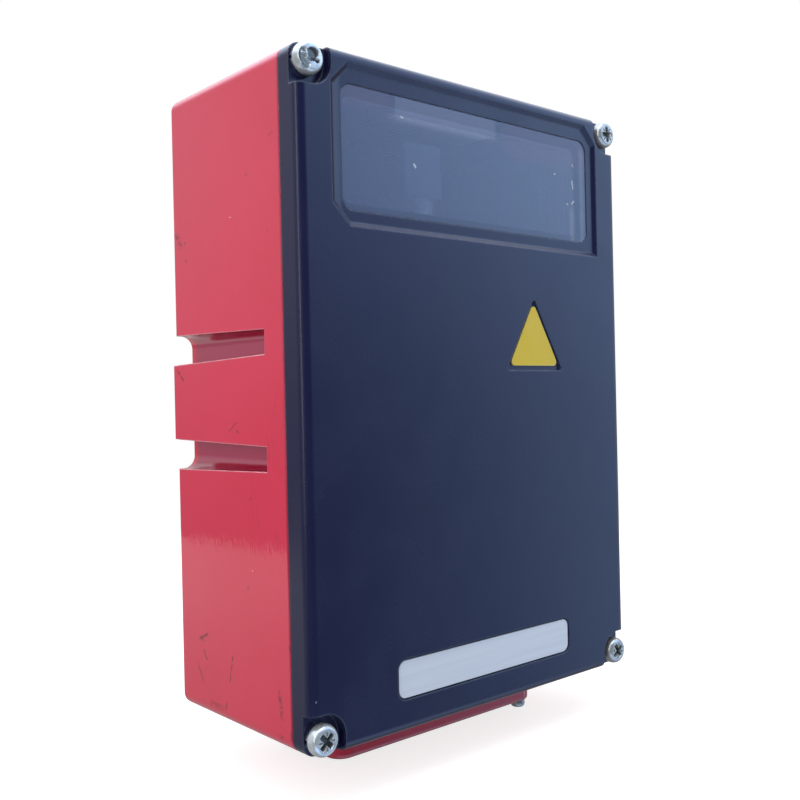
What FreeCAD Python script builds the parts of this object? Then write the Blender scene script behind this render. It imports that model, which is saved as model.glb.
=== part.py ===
import FreeCAD, Part
import math
import os
from types import SimpleNamespace

import Sketcher

# Industrial barcode reader: a die-cast housing with a screwed front cover, a tinted window,
# a connector collar below and a laser scanner with a turning mirror wheel inside.
# Frame: +X to the right seen from the front, the front faces -Y, +Z up.
# The origin is the middle of the rear mounting band. "front" counts millimetres ahead of that band.

SIZES = {
    # Housing shell
    "housing_width": 123.0,
    "housing_height": 172.0,
    "housing_depth": 55.0,
    "corner_radius": 3.4,
    "rear_edge_radius": 1.6,
    "rim_edge_radius": 0.4,
    "wall_thickness": 3.2,
    "back_thickness": 3.5,
    "cavity_radius": 2.0,
    # Clamp grooves and the rear mounting band between them
    "band_height": 21.0,
    "band_rise": 1.4,
    "band_edge_radius": 1.0,
    "groove_height": 8.4,
    "groove_depth": 5.6,
    "groove_length": 46.2,
    "groove_fillet": 3.6,
    "groove_draft": 1.3,
    "groove_edge_radius": 0.6,
    "groove_wall": 2.6,
    "thread_spacing_wide": 70.0,
    "thread_spacing_high": 11.0,
    "mount_thread": 4.0,
    "mount_thread_depth": 7.0,
    # Front cover
    "cover_thickness": 8.0,
    "flange_thickness": 4.6,
    "cover_edge_radius": 2.4,
    "pocket_reach": 6.2,
    "cover_rim": 6.0,
    "cover_plate": 4.0,
    # Window
    "recess_past_pocket": 0.5,
    "recess_height": 40.5,
    "recess_depth": 1.0,
    "recess_slope": 52.0,
    "recess_web": 0.6,
    "pocket_web": 0.8,
    "pane_side_margin": 3.8,
    "pane_height": 31.2,
    "pane_thickness": 2.5,
    "pane_radius": 3.4,
    "pane_margin": 5.0,
    "pane_sink": 0.2,
    "pane_gap": 0.1,
    "pane_seat": 2.2,
    "seal_thickness": 0.5,
    "fit_gap": 0.3,
    # Sign plate and name plate
    "sign_side": 24.4,
    "sign_radius": 0.7,
    "sign_margin": 0.9,
    "sign_plate_radius": 1.2,
    "sign_plate_lift": 0.5,
    "sign_across": 21.3,
    "sign_base_height": 7.1,
    "name_pocket_width": 68.0,
    "name_pocket_height": 10.4,
    "name_radius": 2.6,
    "name_height_below": 72.4,
    "plate_pocket_depth": 0.8,
    "plate_thickness": 0.5,
    "plate_margin": 0.4,
    # Cover screws, washers and gasket
    "screw_inset": 4.2,
    "screw_diameter": 4.0,
    "screw_head_diameter": 8.0,
    "screw_head_height": 3.1,
    "screw_length": 16.0,
    "recess_cross_width": 1.1,
    "recess_cross_span": 4.4,
    "recess_cross_depth": 1.8,
    "head_crown_share": 0.55,
    "small_cross_width": 0.77,
    "small_cross_depth": 1.08,
    "washer_diameter": 7.6,
    "washer_thickness": 1.0,
    "washer_split": 0.9,
    "thread_gap": 0.1,
    "gasket_width": 1.6,
    "gasket_thickness": 1.2,
    "gasket_gap": 0.1,
    "boss_wall": 1.0,
    "boss_length": 22.0,
    "boss_overlap": 0.8,
    # Pale block under the roof, seen through the window
    "shield_width": 39.0,
    "shield_drop": 5.5,
    "shield_depth": 12.0,
    "shield_front": 51.5,
    "shield_radius": 2.5,
    # Connector collar
    "collar_width": 79.0,
    "collar_depth": 32.0,
    "collar_height": 10.4,
    "collar_radius": 5.0,
    "collar_edge_radius": 1.2,
    "collar_mouth_width": 74.0,
    "collar_mouth_depth": 16.6,
    "collar_mouth_radius": 2.0,
    "collar_gasket_thickness": 0.8,
    "collar_screw_inset": 3.7,
    "collar_screw_diameter": 2.5,
    "collar_head_diameter": 4.5,
    "collar_head_height": 1.9,
    "collar_cross_span": 2.64,
    "collar_washer_thickness": 0.6,
    "collar_screw_grip": 7.0,
    "collar_boss_diameter": 7.0,
    # Connectors inside the collar
    "flange_depth": 12.4,
    "flange_sheet": 1.0,
    "shell_height": 8.4,
    "shell_reach": 5.6,
    "shell_sheet": 0.6,
    "shell_corner": 2.0,
    "shell_slant": 0.8,
    "insert_rise": 5.0,
    "data_width": 39.2,
    "data_shell_width": 25.2,
    "data_post_spacing": 33.3,
    "service_width": 30.8,
    "service_shell_width": 16.9,
    "service_post_spacing": 25.0,
    "connector_gap": 1.4,
    "pin_diameter": 1.0,
    "pin_pitch": 2.76,
    "pin_row_spacing": 2.84,
    "pin_reach": 4.6,
    "post_across_flats": 4.8,
    "post_length": 4.8,
    "post_thread_depth": 3.36,
    "post_stud": 2.8,
    # Optics carrier
    "carrier_width": 96.0,
    "carrier_thickness": 3.0,
    "carrier_shelf_height": 38.0,
    "carrier_shelf_reach": 41.0,
    "carrier_back_height": 38.0,
    "carrier_boss_height": 5.0,
    "carrier_screw_inset": 6.0,
    "inner_screw_diameter": 3.0,
    "inner_head_diameter": 5.6,
    "inner_head_height": 2.0,
    "inner_cross_span": 2.86,
    "inner_screw_length": 7.0,
    "inner_boss_diameter": 8.0,
    # Mirror motor, turning on an upright axis
    "motor_across": -8.0,
    "motor_front": 33.0,
    "motor_plate_size": 40.0,
    "motor_plate_thickness": 1.6,
    "motor_screw_margin": 0.56,
    "sleeve_diameter": 9.0,
    "sleeve_height": 12.0,
    "sleeve_floor": 1.5,
    "spindle_diameter": 4.0,
    "spindle_gap": 0.05,
    "rotor_diameter": 32.0,
    "rotor_sheet": 1.2,
    "rotor_gap": 1.0,
    "coil_diameter": 26.0,
    "coil_height": 5.0,
    "coil_slot_diameter": 3.5,
    "coil_slot_depth": 4.0,
    "coil_slot_inset": 2.0625,
    "wheel_radius": 18.0,
    "wheel_height": 15.0,
    "wheel_faces": 8.0,
    "clip_diameter": 10.0,
    "clip_thickness": 1.2,
    # Light source and receiver
    "beam_height": 22.0,
    "laser_inset": 10.0,
    "laser_block_width": 15.0,
    "laser_block_depth": 16.0,
    "laser_block_front": 17.0,
    "barrel_diameter": 9.0,
    "barrel_length": 22.0,
    "barrel_wall": 1.2,
    "diode_length": 4.0,
    "lens_thickness": 3.0,
    "fold_mirror_size": 11.0,
    "fold_mirror_thickness": 2.0,
    "fold_mirror_front": 45.0,
    "collector_diameter": 25.0,
    "collector_thickness": 5.0,
    "collector_gap": 19.0,
    "holder_thickness": 8.0,
    "holder_wall": 2.5,
    "receiver_inset": 5.0,
    "receiver_width": 34.0,
    "receiver_height": 34.0,
    "board_thickness": 1.6,
    "photodiode_size": 7.0,
    "photodiode_thickness": 2.0,
    # Main board on the back wall
    "board_width": 96.0,
    "board_height": 78.0,
    "board_centre_below": 33.0,
    "board_boss_height": 6.0,
    "board_screw_inset": 5.0,
    "processor_size": 20.0,
    "processor_thickness": 3.0,
    "memory_length": 16.0,
    "memory_width": 8.0,
    "capacitor_diameter": 10.0,
    "capacitor_height": 16.0,
    "header_length": 30.0,
    "header_depth": 6.0,
    "header_height": 9.0,
}


class Size:
    """A length as a number together with the sheet formula that gives it."""

    def __init__(self, number, formula):
        self.number = number
        self.formula = formula

    def joined(self, other, sign, number):
        return Size(number, f"({self.formula} {sign} {as_size(other).formula})")

    def __add__(self, other):
        return self.joined(other, "+", self.number + as_size(other).number)

    def __sub__(self, other):
        return self.joined(other, "-", self.number - as_size(other).number)

    def __mul__(self, other):
        return self.joined(other, "*", self.number * as_size(other).number)

    def __truediv__(self, other):
        return self.joined(other, "/", self.number / as_size(other).number)

    def __neg__(self):
        return Size(-self.number, f"(-{self.formula})")

    def __radd__(self, other):
        return as_size(other) + self

    def __rsub__(self, other):
        return as_size(other) - self

    def __rmul__(self, other):
        return as_size(other) * self


def as_size(value):
    """Let a plain factor stand where a length is asked for."""
    if isinstance(value, Size):
        return value
    return Size(float(value), f"{float(value)}")


doc = FreeCAD.newDocument("BarcodeReader")
sheet = doc.addObject("Spreadsheet::Sheet", "Sizes")
for row, (name, number) in enumerate(SIZES.items(), start=1):
    sheet.set(f"A{row}", name)
    sheet.set(f"B{row}", str(number))
    sheet.setAlias(f"B{row}", name)
doc.recompute()

d = SimpleNamespace(**{name: Size(number, f"Sizes.{name}") for name, number in SIZES.items()})

half_width = d.housing_width / 2
half_height = d.housing_height / 2
joint = d.band_rise + d.housing_depth
face = joint + d.cover_thickness
back_inside = d.band_rise + d.back_thickness
zero = as_size(0)

parts = {}


def keep(label, thing):
    """Name a finished sub-part; the label is also its file name."""
    thing.Label = label
    parts[label] = thing
    return thing


# Sketch helpers

def bind(thing, path, size):
    thing.setExpression(path, as_size(size).formula)


def new_body(label):
    return doc.addObject("PartDesign::Body", label)


def new_sketch(body, plane, level):
    """A sketch on one of the body's own planes, moved along the plane's normal by level.

    XZ_Plane: across and up, normal to the front. XY_Plane: across and rearward, normal up.
    """
    sketch = body.newObject("Sketcher::SketchObject", "Sketch")
    support = [item for item in body.Origin.OriginFeatures if item.Role == plane][0]
    sketch.AttachmentSupport = [(support, "")]
    sketch.MapMode = "FlatFace"
    bind(sketch, "AttachmentOffset.Base.z", level)
    return sketch


def add_bound(sketch, kind, geometry, point, size):
    place = (-1, 1, geometry, point) if kind.startswith("Distance") else (geometry,)
    index = sketch.addConstraint(Sketcher.Constraint(kind, *place, as_size(size).number))
    bind(sketch, f"Constraints[{index}]", size)


def arc_between(start, end, radius):
    """The short arc from start to end; a negative radius bends clockwise."""
    chord = end - start
    middle = (start + end) / 2
    turn = 1 if radius > 0 else -1
    rise = math.sqrt(max(radius * radius - chord.Length ** 2 / 4, 0))
    side = FreeCAD.Vector(-chord.y, chord.x, 0).normalize() * (rise * turn)
    centre = middle + side
    first, last = (start, end) if turn > 0 else (end, start)
    angles = [math.atan2(point.y - centre.y, point.x - centre.x) for point in (first, last)]
    circle = Part.Circle(centre, FreeCAD.Vector(0, 0, 1), abs(radius))
    return Part.ArcOfCircle(circle, angles[0], angles[1])


def draw(sketch, path):
    """Draw a closed outline. Each point is (x, y) or (x, y, radius of the bend that leads to it)."""
    first = sketch.GeometryCount
    spots = [FreeCAD.Vector(as_size(p[0]).number, as_size(p[1]).number, 0) for p in path]
    ends = []
    for index, point in enumerate(path):
        start, end = spots[index - 1], spots[index]
        if len(point) == 2:
            sketch.addGeometry(Part.LineSegment(start, end), False)
            ends.append((1, 2))
            continue
        radius = as_size(point[2])
        sketch.addGeometry(arc_between(start, end, radius.number), False)
        ends.append((1, 2) if radius.number > 0 else (2, 1))
        bend = radius if radius.number > 0 else -radius
        add_bound(sketch, "Radius", first + index, 0, bend)
    for index, point in enumerate(path):
        following = (index + 1) % len(path)
        here, there = first + index, first + following
        sketch.addConstraint(
            Sketcher.Constraint("Coincident", here, ends[index][1], there, ends[following][0]))
        add_bound(sketch, "DistanceX", here, ends[index][1], point[0])
        add_bound(sketch, "DistanceY", here, ends[index][1], point[1])


def draw_circle(sketch, x, y, diameter):
    centre = FreeCAD.Vector(as_size(x).number, as_size(y).number, 0)
    shape = Part.Circle(centre, FreeCAD.Vector(0, 0, 1), as_size(diameter).number / 2)
    index = sketch.addGeometry(shape, False)
    add_bound(sketch, "DistanceX", index, 3, x)
    add_bound(sketch, "DistanceY", index, 3, y)
    add_bound(sketch, "Diameter", index, 0, diameter)


def rounded_rectangle(x, y, width, height, radius):
    left, right = x - width / 2, x + width / 2
    low, high = y - height / 2, y + height / 2
    return [
        (left + radius, low, radius), (right - radius, low),
        (right, low + radius, radius), (right, high - radius),
        (right - radius, high, radius), (left + radius, high),
        (left, high - radius, radius), (left, low + radius),
    ]


def rectangle(left, right, low, high):
    return [(left, low), (right, low), (right, high), (left, high)]


def notched_rectangle(half_x, half_y, bite, radius):
    """A rectangle round the origin with each corner bitten out to bite, the bite's own corner rounded."""
    path = []
    for sx, sy in ((1, 1), (-1, 1), (-1, -1), (1, -1)):
        outer_y = (sx * half_x, sy * (half_y - bite))
        turn_y = (sx * (half_x - bite + radius), sy * (half_y - bite))
        turn_x = (sx * (half_x - bite), sy * (half_y - bite + radius))
        outer_x = (sx * (half_x - bite), sy * half_y)
        if sx * sy > 0:
            path += [outer_y, turn_y, turn_x + (-radius,), outer_x]
        else:
            path += [outer_x, turn_x, turn_y + (-radius,), outer_y]
    return path


def corner_block(sx, sy, outside, inside, radius):
    """A square in one corner between two insets from the housing's sides, rounded at its inner corner."""
    far_x, far_y = sx * (half_width - outside), sy * (half_height - outside)
    near_x, near_y = sx * (half_width - inside), sy * (half_height - inside)
    turn_x = (sx * (half_width - inside + radius), near_y)
    turn_y = (near_x, sy * (half_height - inside + radius))
    bend = radius if sx * sy < 0 else -radius
    return [(far_x, far_y), (far_x, near_y), turn_x, turn_y + (bend,), (near_x, far_y)]


corners = ((1, 1), (-1, 1), (-1, -1), (1, -1))


# Feature helpers

def pad(body, sketch, length, backward=False):
    feature = body.newObject("PartDesign::Pad", "Pad")
    feature.Profile = sketch
    feature.Reversed = backward
    bind(feature, "Length", length)
    doc.recompute()
    return feature


def pocket(body, sketch, length, forward=False, taper=None):
    feature = body.newObject("PartDesign::Pocket", "Pocket")
    feature.Profile = sketch
    feature.Reversed = forward
    bind(feature, "Length", length)
    if taper is not None:
        bind(feature, "TaperAngle", taper)
    doc.recompute()
    return feature


def fillet(body, radius, chosen):
    """Round the edges of the body's last feature that the test picks."""
    base = body.Tip
    names = [f"Edge{n}" for n, edge in enumerate(base.Shape.Edges, start=1) if chosen(edge)]
    feature = body.newObject("PartDesign::Fillet", "Fillet")
    feature.Base = (base, names)
    bind(feature, "Radius", radius)
    doc.recompute()
    return feature


def revolve(body, sketch, axis):
    feature = body.newObject("PartDesign::Revolution", "Revolution")
    feature.Profile = sketch
    feature.ReferenceAxis = (sketch, [axis])
    feature.Angle = 360
    doc.recompute()
    return feature


def lies_at_front(level):
    """Test for edges that lie wholly in the plane a given distance ahead of the mounting band."""
    def test(edge):
        box = edge.BoundBox
        return abs(box.YMin + level.number) < 0.001 and abs(box.YMax + level.number) < 0.001
    return test


def lies_at_height(level):
    def test(edge):
        box = edge.BoundBox
        return abs(box.ZMin - level.number) < 0.001 and abs(box.ZMax - level.number) < 0.001
    return test


# Solid helpers: boxes and cylinders placed by their real corners and axes

def move_to(thing, x, front, z):
    bind(thing, "Placement.Base.x", x)
    bind(thing, "Placement.Base.y", -as_size(front))
    bind(thing, "Placement.Base.z", z)


def box(x, front, z):
    """A box from three pairs of limits: across, ahead of the band, and up."""
    thing = doc.addObject("Part::Box", "Box")
    bind(thing, "Length", x[1] - x[0])
    bind(thing, "Width", front[1] - front[0])
    bind(thing, "Height", z[1] - z[0])
    move_to(thing, x[0], front[1], z[0])
    return thing


TURNS = {
    "up": FreeCAD.Rotation(),
    "front": FreeCAD.Rotation(FreeCAD.Vector(1, 0, 0), 90),
    "right": FreeCAD.Rotation(FreeCAD.Vector(0, 1, 0), 90),
}


def rod(direction, x, front, z, diameter, length):
    """A cylinder that starts at a point and runs up, to the front or to the right."""
    thing = doc.addObject("Part::Cylinder", "Cylinder")
    thing.Placement = FreeCAD.Placement(FreeCAD.Vector(), TURNS[direction])
    bind(thing, "Radius", diameter / 2)
    bind(thing, "Height", length)
    move_to(thing, x, front, z)
    return thing


def cut(base, *tools):
    thing = doc.addObject("Part::Cut", "Cut")
    thing.Base = base
    thing.Tool = tools[0] if len(tools) == 1 else fuse(*tools)
    return thing


def fuse(*pieces):
    thing = doc.addObject("Part::MultiFuse", "Fuse")
    thing.Shapes = list(pieces)
    return thing


def group(pieces):
    """Equal pieces that stay separate solids in one node."""
    thing = doc.addObject("Part::Compound", "Group")
    thing.Links = pieces
    return thing


def copies(original, places):
    """Linked copies of one body, moved by (x, front, z)."""
    made = []
    for x, front, z in places:
        link = doc.addObject("App::Link", "Copy")
        link.LinkedObject = original
        move_to(link, x, front, z)
        made.append(link)
    return made


# Places that several pieces share

screw_x = half_width - d.screw_inset
screw_z = half_height - d.screw_inset
recess_right = screw_x - d.pocket_reach + d.recess_past_pocket
recess_high = half_height - d.cover_edge_radius - d.recess_web
recess_low = recess_high - d.recess_height
recess_cut = recess_right + recess_high - (
    screw_x + screw_z - (d.pocket_reach + d.pocket_web) * math.sqrt(2))
pane_width = 2 * (recess_right - d.pane_side_margin)
window_z = recess_high - d.pane_margin - d.pane_height / 2
groove_middle = d.band_height / 2 + d.groove_height / 2
collar_front = d.band_rise + d.housing_depth / 2
collar_top = -half_height - d.collar_gasket_thickness
collar_low = collar_top - d.collar_height
collar_screw_x = d.collar_width / 2 - d.collar_screw_inset
collar_screw_y = d.collar_depth / 2 - d.collar_screw_inset
collar_screw_places = (
    (collar_screw_x, collar_front + collar_screw_y),
    (-collar_screw_x, collar_front - collar_screw_y),
)
connectors_width = d.data_width + d.connector_gap + d.service_width
data_x = (d.data_width - connectors_width) / 2
service_x = (connectors_width - d.service_width) / 2
post_places = [
    data_x - d.data_post_spacing / 2, data_x + d.data_post_spacing / 2,
    service_x - d.service_post_spacing / 2, service_x + d.service_post_spacing / 2,
]
boss_reach = d.screw_diameter / 2 + d.boss_wall + d.gasket_width + d.boss_wall
gasket_inside = d.screw_inset + d.screw_diameter / 2 + d.boss_wall
gasket_edge = (d.wall_thickness - d.gasket_width) / 2
board_back = back_inside + d.board_boss_height
board_face = board_back + d.board_thickness
board_screw_x = d.board_width / 2 - d.board_screw_inset
board_screw_z = d.board_height / 2 - d.board_screw_inset
board_screw_places = [
    (sx * board_screw_x, -d.board_centre_below + sz * board_screw_z) for sx, sz in corners
]
carrier_back = back_inside + d.carrier_boss_height
carrier_top = d.carrier_shelf_height + d.carrier_thickness
carrier_screw_heights = (carrier_top + d.inner_head_diameter, d.carrier_shelf_height
                         + d.carrier_back_height - d.inner_head_diameter)
carrier_screw_x = d.carrier_width / 2 - d.carrier_screw_inset
laser_x = d.laser_inset - d.carrier_width / 2
receiver_x = d.carrier_width / 2 - d.receiver_inset
collector_x = receiver_x - d.collector_gap
carrier_screw_places = [
    (sx * carrier_screw_x, z) for sx in (-1, 1) for z in carrier_screw_heights
]
beam_z = carrier_top + d.beam_height


def gasket_band(sketch, spare):
    """The seal's path: along the middle of the wall and round the inside of each corner screw."""
    edge = gasket_edge + spare
    bite = gasket_inside + spare - edge
    radius = d.screw_diameter / 2 + d.boss_wall + spare
    draw(sketch, notched_rectangle(half_width - edge, half_height - edge, bite, radius))
    edge = gasket_edge + d.gasket_width - spare
    bite = gasket_inside + d.gasket_width - spare - edge
    radius = d.screw_diameter / 2 + d.boss_wall + d.gasket_width - spare
    draw(sketch, notched_rectangle(half_width - edge, half_height - edge, bite, radius))


# Housing

def borders_groove(edge):
    """Test for the upright edges at the front ends of the clamp grooves, on the housing's side faces."""
    box = edge.BoundBox
    on_side = box.XLength < 0.001 and abs(abs(box.XMin) - half_width.number) < 0.001
    inner, outer = d.band_height.number / 2, d.band_height.number / 2 + d.groove_height.number
    heights = sorted((abs(box.ZMin), abs(box.ZMax)))
    in_reach = heights[0] > inner + 0.01 and heights[1] < outer - 0.01
    return on_side and in_reach and box.YMax < -d.band_rise.number - d.rear_edge_radius.number - 0.01


def make_housing():
    body = new_body("housing")

    outline = new_sketch(body, "XZ_Plane", d.band_rise)
    draw(outline, rounded_rectangle(zero, zero, d.housing_width, d.housing_height, d.corner_radius))
    pad(body, outline, d.housing_depth)
    fillet(body, d.rear_edge_radius, lies_at_front(d.band_rise))
    fillet(body, d.rim_edge_radius, lies_at_front(joint))

    band = new_sketch(body, "XZ_Plane", zero)
    draw(band, rectangle(-half_width, half_width, -d.band_height / 2, d.band_height / 2))
    pad(body, band, d.band_rise + d.rear_edge_radius)
    fillet(body, d.band_edge_radius, lies_at_front(zero))

    cavity = new_sketch(body, "XZ_Plane", joint)
    draw(cavity, rounded_rectangle(
        zero, zero, d.housing_width - 2 * d.wall_thickness,
        d.housing_height - 2 * d.wall_thickness, d.cavity_radius))
    pocket(body, cavity, d.housing_depth - d.back_thickness)

    bosses = new_sketch(body, "XZ_Plane", joint)
    for sx, sy in corners:
        draw(bosses, corner_block(
            sx, sy, d.wall_thickness - d.boss_overlap, d.screw_inset + boss_reach, boss_reach))
    pad(body, bosses, d.boss_length, backward=True)

    shields = new_sketch(body, "XZ_Plane", d.band_rise + d.back_thickness / 2)
    shield_inside = half_width - d.groove_depth - d.groove_wall
    shield_outside = half_width - d.wall_thickness / 2
    for sx in (-1, 1):
        for sz in (-1, 1):
            limits = sorted((sx * shield_inside, sx * shield_outside), key=lambda size: size.number)
            low = sz * groove_middle - d.groove_height / 2 - d.groove_wall
            high = sz * groove_middle + d.groove_height / 2 + d.groove_wall
            draw(shields, rectangle(limits[0], limits[1], low, high))
    pad(body, shields, d.groove_length + d.groove_wall - d.back_thickness / 2)

    grooves = new_sketch(body, "XZ_Plane", zero)
    floor = half_width - d.groove_depth
    beyond = half_width + d.groove_depth
    for sx in (-1, 1):
        for sz in (-1, 1):
            near, far = sz * d.band_height / 2, sz * (d.band_height / 2 + d.groove_height)
            bend = d.groove_fillet if sx * sz > 0 else -d.groove_fillet
            draw(grooves, [
                (sx * floor, near), (sx * beyond, near), (sx * beyond, far),
                (sx * (floor + d.groove_fillet), far), (sx * floor, far - sz * d.groove_fillet, bend),
            ])
    pocket(body, grooves, d.band_rise + d.groove_length, forward=True, taper=-d.groove_draft)
    fillet(body, d.groove_edge_radius, borders_groove)

    inner_bosses = new_sketch(body, "XZ_Plane", d.band_rise + d.back_thickness / 2)
    for sx, sz in corners:
        draw_circle(inner_bosses, sx * d.thread_spacing_wide / 2, sz * d.thread_spacing_high / 2,
                    d.inner_boss_diameter)
    pad(body, inner_bosses, d.mount_thread_depth - d.band_rise / 2)
    for places, height in ((board_screw_places, d.board_boss_height),
                           (carrier_screw_places, d.carrier_boss_height)):
        seats = new_sketch(body, "XZ_Plane", d.band_rise + d.back_thickness / 2)
        for x, z in places:
            draw_circle(seats, x, z, d.inner_boss_diameter)
        pad(body, seats, d.back_thickness / 2 + height)
        holes = new_sketch(body, "XZ_Plane", back_inside + height)
        for x, z in places:
            draw_circle(holes, x, z, d.inner_screw_diameter + d.thread_gap)
        pocket(body, holes, d.inner_screw_length)

    threads = new_sketch(body, "XZ_Plane", zero)
    for sx, sz in corners:
        draw_circle(threads, sx * d.thread_spacing_wide / 2, sz * d.thread_spacing_high / 2,
                    d.mount_thread)
    pocket(body, threads, d.mount_thread_depth, forward=True)

    rim_groove = new_sketch(body, "XZ_Plane", joint)
    gasket_band(rim_groove, zero)
    pocket(body, rim_groove, d.gasket_thickness)

    cover_threads = new_sketch(body, "XZ_Plane", joint)
    for sx, sz in corners:
        draw_circle(cover_threads, sx * screw_x, sz * screw_z, d.screw_diameter + d.thread_gap)
    pocket(body, cover_threads, d.screw_length)

    collar_bosses = new_sketch(body, "XY_Plane", -half_height + d.wall_thickness / 2)
    for x, front in collar_screw_places:
        draw_circle(collar_bosses, x, -front, d.collar_boss_diameter)
    pad(body, collar_bosses, d.collar_screw_grip + d.wall_thickness / 2)
    collar_threads = new_sketch(body, "XY_Plane", -half_height)
    for x, front in collar_screw_places:
        draw_circle(collar_threads, x, -front, d.collar_screw_diameter + d.thread_gap)
    for x in post_places:
        draw_circle(collar_threads, x, -collar_front, d.post_stud + d.fit_gap)
    pocket(body, collar_threads, d.collar_screw_grip, forward=True)

    ports = new_sketch(body, "XY_Plane", -half_height)
    for x, width in ((data_x, d.data_shell_width), (service_x, d.service_shell_width)):
        draw(ports, rounded_rectangle(x, -collar_front, width + d.fit_gap * 2,
                                      d.shell_height + d.fit_gap * 2, d.shell_corner))
    pocket(body, ports, d.wall_thickness * 2, forward=True)
    return keep("housing", body)


# Front cover

def window_outline():
    """The recess round the window: three cut-off corners, the lower right one left square."""
    left, right, low, high = -recess_right, recess_right, recess_low, recess_high
    return [
        (left + recess_cut, low), (right, low), (right, high - recess_cut), (right - recess_cut, high),
        (left + recess_cut, high), (left, high - recess_cut), (left, low + recess_cut),
    ]


def sign_outline(margin, radius, lift=zero):
    """An upright triangle of equal sides with round corners, set in from the pocket by a margin."""
    root = math.sqrt(3)
    side = d.sign_side - margin * (2 * root)
    low = d.sign_base_height + margin + lift
    left, right = d.sign_across - side / 2, d.sign_across + side / 2
    top = low + side * (root / 2)
    run = radius * root
    return [
        (left + run, low, radius), (right - run, low),
        (right - run / 2, low + run * (root / 2), radius),
        (d.sign_across + run / 2, top - run * (root / 2)),
        (d.sign_across - run / 2, top - run * (root / 2), radius),
        (left + run / 2, low + run * (root / 2)),
    ]


def make_front_cover():
    body = new_body("front_cover")

    outline = new_sketch(body, "XZ_Plane", joint)
    draw(outline, rounded_rectangle(zero, zero, d.housing_width, d.housing_height, d.corner_radius))
    pad(body, outline, d.cover_thickness)
    fillet(body, d.cover_edge_radius, lies_at_front(face))
    fillet(body, d.rim_edge_radius, lies_at_front(joint))

    pockets = new_sketch(body, "XZ_Plane", face)
    for sx, sy in corners:
        draw(pockets, corner_block(
            sx, sy, -d.screw_inset, d.screw_inset + d.pocket_reach, d.pocket_reach))
    pocket(body, pockets, d.cover_thickness - d.flange_thickness)

    recess = new_sketch(body, "XZ_Plane", face)
    draw(recess, window_outline())
    pocket(body, recess, d.recess_depth, taper=-d.recess_slope)

    seat = new_sketch(body, "XZ_Plane", face - d.recess_depth)
    draw(seat, rounded_rectangle(
        zero, window_z, pane_width + 2 * d.pane_gap, d.pane_height + 2 * d.pane_gap,
        d.pane_radius + d.pane_gap))
    pocket(body, seat, d.pane_sink + d.pane_thickness + d.seal_thickness)

    opening = new_sketch(body, "XZ_Plane", face)
    draw(opening, rounded_rectangle(
        zero, window_z, pane_width - 2 * d.pane_seat, d.pane_height - 2 * d.pane_seat,
        d.pane_radius - d.pane_seat / 2))
    pocket(body, opening, d.cover_thickness)

    hollow = new_sketch(body, "XZ_Plane", joint)
    hollow_low = -half_height + d.screw_inset + d.pocket_reach + d.cover_rim / 2
    hollow_high = recess_low - d.cover_rim
    draw(hollow, rounded_rectangle(
        zero, (hollow_low + hollow_high) / 2, d.housing_width - 2 * d.cover_rim,
        hollow_high - hollow_low, d.cavity_radius))
    pocket(body, hollow, d.cover_thickness - d.cover_plate, forward=True)

    plates = new_sketch(body, "XZ_Plane", face)
    draw(plates, sign_outline(zero, d.sign_radius))
    draw(plates, rounded_rectangle(zero, -d.name_height_below, d.name_pocket_width,
                                   d.name_pocket_height, d.name_radius))
    pocket(body, plates, d.plate_pocket_depth)

    holes = new_sketch(body, "XZ_Plane", face)
    for sx, sz in corners:
        draw_circle(holes, sx * screw_x, sz * screw_z, d.screw_diameter + d.fit_gap)
    pocket(body, holes, d.cover_thickness)
    return keep("front_cover", body)


def flat_piece(label, level, thickness, *paths):
    """A flat piece that starts at a level ahead of the band and reaches further to the front."""
    body = new_body(label)
    sketch = new_sketch(body, "XZ_Plane", level)
    for path in paths:
        draw(sketch, path)
    pad(body, sketch, thickness)
    return keep(label, body)


def make_window():
    pane_back = face - d.recess_depth - d.pane_sink - d.pane_thickness
    pane = rounded_rectangle(zero, window_z, pane_width, d.pane_height, d.pane_radius)
    inside = rounded_rectangle(
        zero, window_z, pane_width - 2 * d.pane_seat, d.pane_height - 2 * d.pane_seat,
        d.pane_radius - d.pane_seat / 2)
    flat_piece("window_pane", pane_back, d.pane_thickness, pane)
    flat_piece("window_seal", pane_back - d.seal_thickness, d.seal_thickness, pane, inside)


def make_light_shield():
    body = new_body("light_shield")
    sketch = new_sketch(body, "XZ_Plane", d.shield_front)
    left, right = -d.shield_width / 2, d.shield_width / 2
    high = half_height - d.wall_thickness
    low, radius = high - d.shield_drop, d.shield_radius
    draw(sketch, [
        (left + radius, low, radius), (right - radius, low), (right, low + radius, radius),
        (right, high), (left, high), (left, low + radius),
    ])
    pad(body, sketch, d.shield_depth, backward=True)
    keep("light_shield", body)


def make_plates():
    level = face - d.plate_pocket_depth
    flat_piece("sign_plate", level, d.plate_thickness,
               sign_outline(d.sign_margin, d.sign_plate_radius, d.sign_plate_lift))
    flat_piece("name_plate", level, d.plate_thickness, rounded_rectangle(
        zero, -d.name_height_below, d.name_pocket_width - 2 * d.plate_margin,
        d.name_pocket_height - 2 * d.plate_margin, d.name_radius - d.plate_margin))


def make_cover_gasket():
    body = new_body("cover_gasket")
    sketch = new_sketch(body, "XZ_Plane", joint - d.gasket_thickness)
    gasket_band(sketch, d.gasket_gap)
    pad(body, sketch, d.gasket_thickness)
    return keep("cover_gasket", body)


# Fasteners: each is turned once on an upright axis at the origin, then linked to its places

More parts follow.
